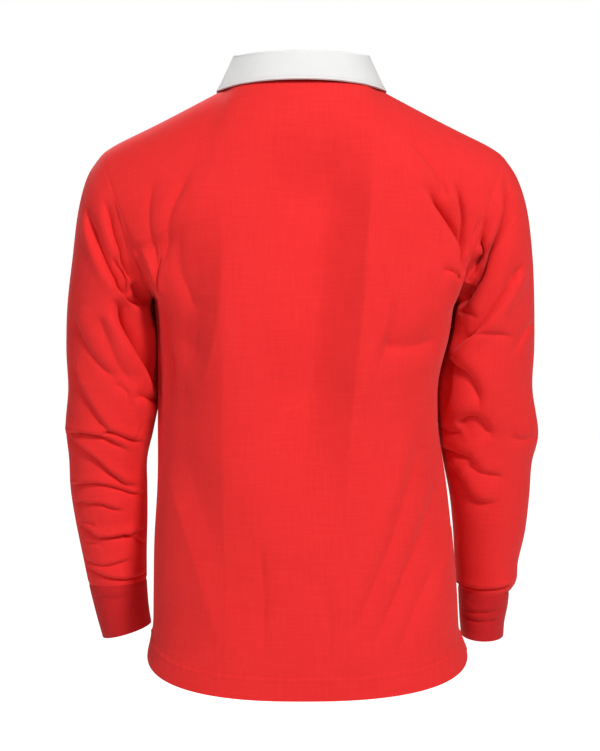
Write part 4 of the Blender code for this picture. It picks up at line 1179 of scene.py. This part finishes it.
def button_profile():
    """Radii and heights from the base's middle over the rim to the pit for the thread."""
    roll = BUTTON_RIM / 2.0
    rim = BUTTON_RADIUS - roll
    middle = BUTTON_HEIGHT * RIM_MIDDLE
    profile = [(BUTTON_CORE, 0.0), (BUTTON_RADIUS * BUTTON_BASE, 0.0)]
    for angle in map(math.radians, RIM_ANGLES):
        height = middle + (BUTTON_HEIGHT - middle) * math.sin(angle)
        profile.append((rim + roll * math.cos(angle), height))
    dish = BUTTON_HEIGHT - BUTTON_DISH
    profile += [(rim - BUTTON_RIM, dish), (rim / 2.0, dish * DISH_SLOPE)]
    return profile + [(radius, dish * share) for radius, share in BUTTON_PIT]


def button_object(name, place, normal, look):
    """A round rubber button, turned from its profile."""
    aside = unit(np.cross(normal, (1.0, 0.0, 0.0)))
    across = np.cross(normal, aside)
    profile = button_profile()
    points, faces = [], []
    for radius, height in profile:
        for step in range(BUTTON_SIDES):
            angle = 2.0 * math.pi * step / BUTTON_SIDES
            flat = across * math.cos(angle) + aside * math.sin(angle)
            points.append(tuple(place + flat * radius + normal * height))
    for low in range(0, len(points) - BUTTON_SIDES, BUTTON_SIDES):
        high = low + BUTTON_SIDES
        for step in range(BUTTON_SIDES):
            after = (step + 1) % BUTTON_SIDES
            faces.append((low + step, low + after, high + after, high + step))
    faces.append(tuple(range(BUTTON_SIDES))[::-1])
    faces.append(tuple(range(len(points) - BUTTON_SIDES, len(points))))
    return add_object(name, smooth_mesh(name, points, faces, look))


def button_places(pieces):
    """The middle of the upper strip at each button's height."""
    climb = np.linspace(PLACKET_BOTTOM, PLACKET_TOP, BUTTON_SEARCH)
    points, normals = front_at(pieces, np.array([0.0]), climb)
    lifted = points + normals * (PLACKET_GAP + PLACKET_WALL + SEAM_GAP)
    places = []
    for height in BUTTON_HEIGHTS:
        index = int(np.argmin(np.abs(lifted[:, 0, 2] - height)))
        places.append((lifted[index, 0], normals[index, 0]))
    return places


def cut_pieces():
    """The torso pieces, sleeves and cuffs, before seams and folds."""
    pieces = {}
    for face in ("back", "front"):
        pieces["body_" + face] = Piece(torso_piece(face), of_torso=True)
    back = pieces["body_back"].points
    front = pieces["body_front"].points
    for end in (0, -1):
        front[: LOWER_ROWS + 1, end] = back[: LOWER_ROWS + 1, end]
        front[LOWER_ROWS + UPPER_ROWS, end] = back[LOWER_ROWS + UPPER_ROWS, end]
    count = SHOULDER_COLUMNS + 1
    front[-1, :count] = back[-1, :count]
    front[-1, -count:] = back[-1, -count:]
    open_vents(back, "back")
    open_vents(front, "front")
    for side in ("left", "right"):
        sleeve = rings(SLEEVE[side], SLEEVE_ROWS, 2 * UPPER_ROWS)
        sleeve[0] = seam_ring(pieces, side)
        pieces["sleeve_" + side] = Piece(sleeve, wraps=True)
        cuff = rings(CUFF[side], CUFF_ROWS, 2 * UPPER_ROWS)
        cuff[0] = sleeve[-1]
        pieces["cuff_" + side] = Piece(cuff, wraps=True)
    return pieces


def find_all_normals(pieces):
    """New normals for all pieces."""
    for piece in pieces.values():
        piece.find_normals()


def shape_pieces():
    """The sheets with their folds, and the collar on the neckline."""
    pieces = cut_pieces()
    find_all_normals(pieces)
    share_normals(pieces)
    seams = seam_lines(pieces)
    for name, piece in pieces.items():
        near = nearest_seam(piece.points.reshape(-1, 3), seams)
        press_folds(name, piece, near)
    find_all_normals(pieces)
    press_hem(pieces["body_back"])
    press_hem(pieces["body_front"])
    find_all_normals(pieces)
    collar = collar_piece(pieces)
    pieces["collar"] = Piece(finer(collar, (len(collar) - 1) * COLLAR_STEPS))
    pieces["collar"].find_normals()
    share_normals(pieces)
    return pieces


def fill(tree, node, inputs):
    """Sets each named input of a node, or links it where its value is another node's socket."""
    for name, value in inputs.items():
        if isinstance(value, bpy.types.NodeSocket):
            tree.links.new(value, node.inputs[name])
        else:
            node.inputs[name].default_value = value


class Look:
    """A material under construction: its node tree and the shader that ends it."""

    def __init__(self, name):
        self.made = bpy.data.materials.new(name)
        self.made.use_nodes = True
        self.tree = self.made.node_tree

    def surface(self, inputs):
        """Sets or links inputs of the shader."""
        fill(self.tree, self.tree.nodes["Principled BSDF"], inputs)

    def node(self, kind, inputs, **settings):
        """A new node with its settings and inputs."""
        made = self.tree.nodes.new(kind)
        for key, value in settings.items():
            setattr(made, key, value)
        fill(self.tree, made, inputs)
        return made

    def maths(self, operation, *values):
        """One sum on sockets or numbers."""
        inputs = dict(enumerate(values))
        return self.node("ShaderNodeMath", inputs, operation=operation).outputs[0]

    def weighted(self, sockets, weights):
        """The sum of sockets, each times its weight."""
        total = 0.0
        for socket, weight in zip(sockets, weights):
            total = self.maths("MULTIPLY_ADD", socket, weight, total)
        return total

    def flat_cloth(self):
        """The cloth's own flat coordinates, in metres."""
        return self.node("ShaderNodeUVMap", {}, uv_map="flat_cloth").outputs["UV"]

    def stretched(self, source, scale, turn=0.0):
        """Coordinates at a scale for each axis."""
        inputs = {"Vector": source, "Scale": (*scale, 1.0), "Rotation": (0.0, 0.0, turn)}
        return self.node("ShaderNodeMapping", inputs).outputs[0]

    def noise(self, source, scale, detail=2.0):
        """A noise from 0 to 1 on some coordinates."""
        inputs = {"Vector": source, "Scale": scale, "Detail": detail}
        return self.node("ShaderNodeTexNoise", inputs).outputs["Fac"]

    def wave(self, source, period, distortion):
        """Even bands of one period, in metres."""
        inputs = {"Vector": source, "Distortion": distortion, "Detail": 1.0}
        inputs["Scale"] = WAVE_SCALE / period
        return self.node("ShaderNodeTexWave", inputs, bands_direction="X").outputs["Fac"]

    def between(self, factor, first, second):
        """A colour between two others."""
        inputs = dict(zip(MIX_INPUTS, (factor, first, second)))
        return self.node("ShaderNodeMix", inputs, data_type="RGBA").outputs[MIX_OUTPUT]

    def bump(self, height, distance):
        """Relief from a height of 0 to 1."""
        inputs = {"Height": height, "Distance": distance, "Strength": 1.0}
        self.surface({"Normal": self.node("ShaderNodeBump", inputs).outputs[0]})


def jersey(name, reds):
    """Heavy red cotton jersey: fine upright wales, level slubs and a soft nap."""
    look = Look(name)
    flat = look.flat_cloth()
    wales = look.wave(flat, *WALE)
    streaks = look.noise(look.stretched(flat, STREAKS), 1.0)
    slubs = look.noise(look.stretched(flat, SLUBS), 1.0)
    cloud = look.noise(flat, JERSEY_CLOUD, 3.0)
    tone = look.weighted((streaks, slubs, cloud), JERSEY_TONE)
    tone = look.maths("MULTIPLY_ADD", tone, *JERSEY_CONTRAST)
    look.surface({"Base Color": look.between(tone, *reds), **JERSEY_SURFACE})
    look.bump(look.weighted((wales, streaks, slubs), JERSEY_HEIGHTS), CLOTH_RELIEF)
    return look.made


def twill(name):
    """White cotton twill with a line of stitches along its edge."""
    look = Look(name)
    flat = look.flat_cloth()
    ribs = look.wave(look.stretched(flat, (1.0, 1.0), TWILL_SLANT), *TWILL_RIB)
    yarn = look.noise(look.stretched(flat, YARN), 1.0)
    cloud = look.noise(flat, TWILL_CLOUD, 3.0)
    split = look.node("ShaderNodeSeparateXYZ", {"Vector": flat})
    offset = look.maths("ABSOLUTE", look.maths("SUBTRACT", split.outputs["Y"], STITCH_INSET))
    line = look.maths("LESS_THAN", offset, STITCH_WIDTH / 2.0)
    part = look.maths("FRACT", look.maths("DIVIDE", split.outputs["X"], STITCH_LENGTH))
    stitch = look.maths("MULTIPLY", line, look.maths("LESS_THAN", part, STITCH_SHARE))
    colour = look.between(stitch, look.between(cloud, *TWILL_WHITES), THREAD)
    look.surface({"Base Color": colour, **TWILL_SURFACE})
    look.bump(look.weighted((ribs, yarn, line), TWILL_HEIGHTS), CLOTH_RELIEF)
    return look.made


def rubber(name):
    """Off-white moulded rubber."""
    look = Look(name)
    place = look.node("ShaderNodeTexCoord", {}).outputs["Object"]
    fine = look.noise(place, RUBBER_GRAIN, 3.0)
    look.surface({"Base Color": look.between(fine, *RUBBER_WHITES), **RUBBER_SURFACE})
    look.bump(fine, RUBBER_RELIEF)
    return look.made


def leaf_map(piece):
    """The collar's flat lie, measured in from the edge of its leaf."""
    flat = cloth_map(piece.points, False)
    flat[..., 1] = flat[-1:, :, 1] - flat[..., 1]
    return flat


def dress(pieces):
    """Parts the seams, makes every visible piece and returns them by the node each stands for."""
    join_torso(pieces)
    join_armholes(pieces)
    join_cuffs(pieces)
    join_collar(pieces)
    made = {}
    collar = pieces.pop("collar")
    present = {"body_front": slit_mask(pieces["body_front"].points)}
    for name, piece in pieces.items():
        # The cuffs take the reds darkened partly by painted shade.
        look = jersey("jersey_" + name, CUFF_REDS_WITH_PAINTED_SHADE if name.startswith("cuff") else BODY_REDS)
        made[name] = cloth_object("cloth_" + name, piece, WALL, look, present.get(name))
    look = twill("white_twill_cloth")
    made["collar"] = cloth_object("cloth_collar", collar, COLLAR_WALL, look, None, leaf_map(collar))
    for name, outside in (("placket_top", True), ("placket_under", False)):
        strip = placket_strip(pieces, outside)
        look = jersey("jersey_" + name, BODY_REDS)
        made[name] = cloth_object("cloth_" + name, strip, PLACKET_WALL, look)
    for index, (place, normal) in enumerate(button_places(pieces), start=1):
        name = f"button_{index}"
        made[name] = button_object("rubber_" + name, place, normal, rubber("rubber_" + name))
    return made


def declare(made):
    """Hides the solid of the node that each piece stands for, and ties the piece to the body."""
    for name, piece in made.items():
        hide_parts(name)
        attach(piece, "root")


def floor():
    """A plain pale floor far below the shirt, at the height of a wearer's feet."""
    half = FLOOR_SIZE / 2.0
    corners = [(-half, -half), (half, -half), (half, half), (-half, half)]
    mesh = bpy.data.meshes.new("studio_floor")
    mesh.from_pydata([(x, y, FLOOR_HEIGHT) for x, y in corners], [], [(0, 1, 2, 3)])
    look = Look("pale_floor")
    seen = look.node("ShaderNodeLightPath", {}).outputs["Is Camera Ray"]
    glow = look.maths("MULTIPLY", seen, FLOOR_GLOW)
    look.surface({"Emission Strength": glow, **FLOOR_SURFACE})
    mesh.materials.append(look.made)
    made = add_object("studio_floor", mesh)


def softbox(name, place, size, watts):
    """A large soft light aimed at the middle of the shirt."""
    light = bpy.data.lights.new(name, "AREA")
    light.shape = "RECTANGLE"
    light.size, light.size_y = size
    light.energy = watts
    made = add_object(name, light)
    made.location = place
    made.rotation_euler = (LIGHT_AIM - Vector(place)).to_track_quat("-Z", "Y").to_euler()


def studio():
    """A white surround, one key light from the upper right and two weaker ones."""
    world = bpy.data.worlds.new("white_studio")
    bpy.context.scene.world = world
    world.use_nodes = True
    tree = world.node_tree
    soft = tree.nodes["Background"]
    fill(tree, soft, {"Color": WHITE, "Strength": AMBIENT})
    white = tree.nodes.new("ShaderNodeBackground")
    fill(tree, white, {"Color": WHITE, "Strength": 1.0})
    seen = tree.nodes.new("ShaderNodeLightPath").outputs["Is Camera Ray"]
    mix = tree.nodes.new("ShaderNodeMixShader")
    fill(tree, mix, {0: seen, 1: soft.outputs[0], 2: white.outputs[0]})
    fill(tree, tree.nodes["World Output"], {"Surface": mix.outputs[0]})
    for row in LIGHTS:
        softbox(*row)
    bpy.context.scene.view_settings.view_transform = "Standard"
    bpy.context.scene.view_settings.look = "None"


def camera():
    """The photograph's camera: level, behind the shirt."""
    lens = bpy.data.cameras.new("photo_camera")
    lens.sensor_fit = "VERTICAL"
    lens.sensor_height = SENSOR
    lens.lens = SENSOR * CAMERA_PLACE[1] / (FRAME_SIZE[1] * PIXEL)
    made = add_object("photo_camera", lens)
    made.location = CAMERA_PLACE
    made.rotation_euler = CAMERA_TURN
    bpy.context.scene.camera = made


def main():
    """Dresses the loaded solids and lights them."""
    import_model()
    camera()
    declare(dress(shape_pieces()))
    floor()
    studio()


main()
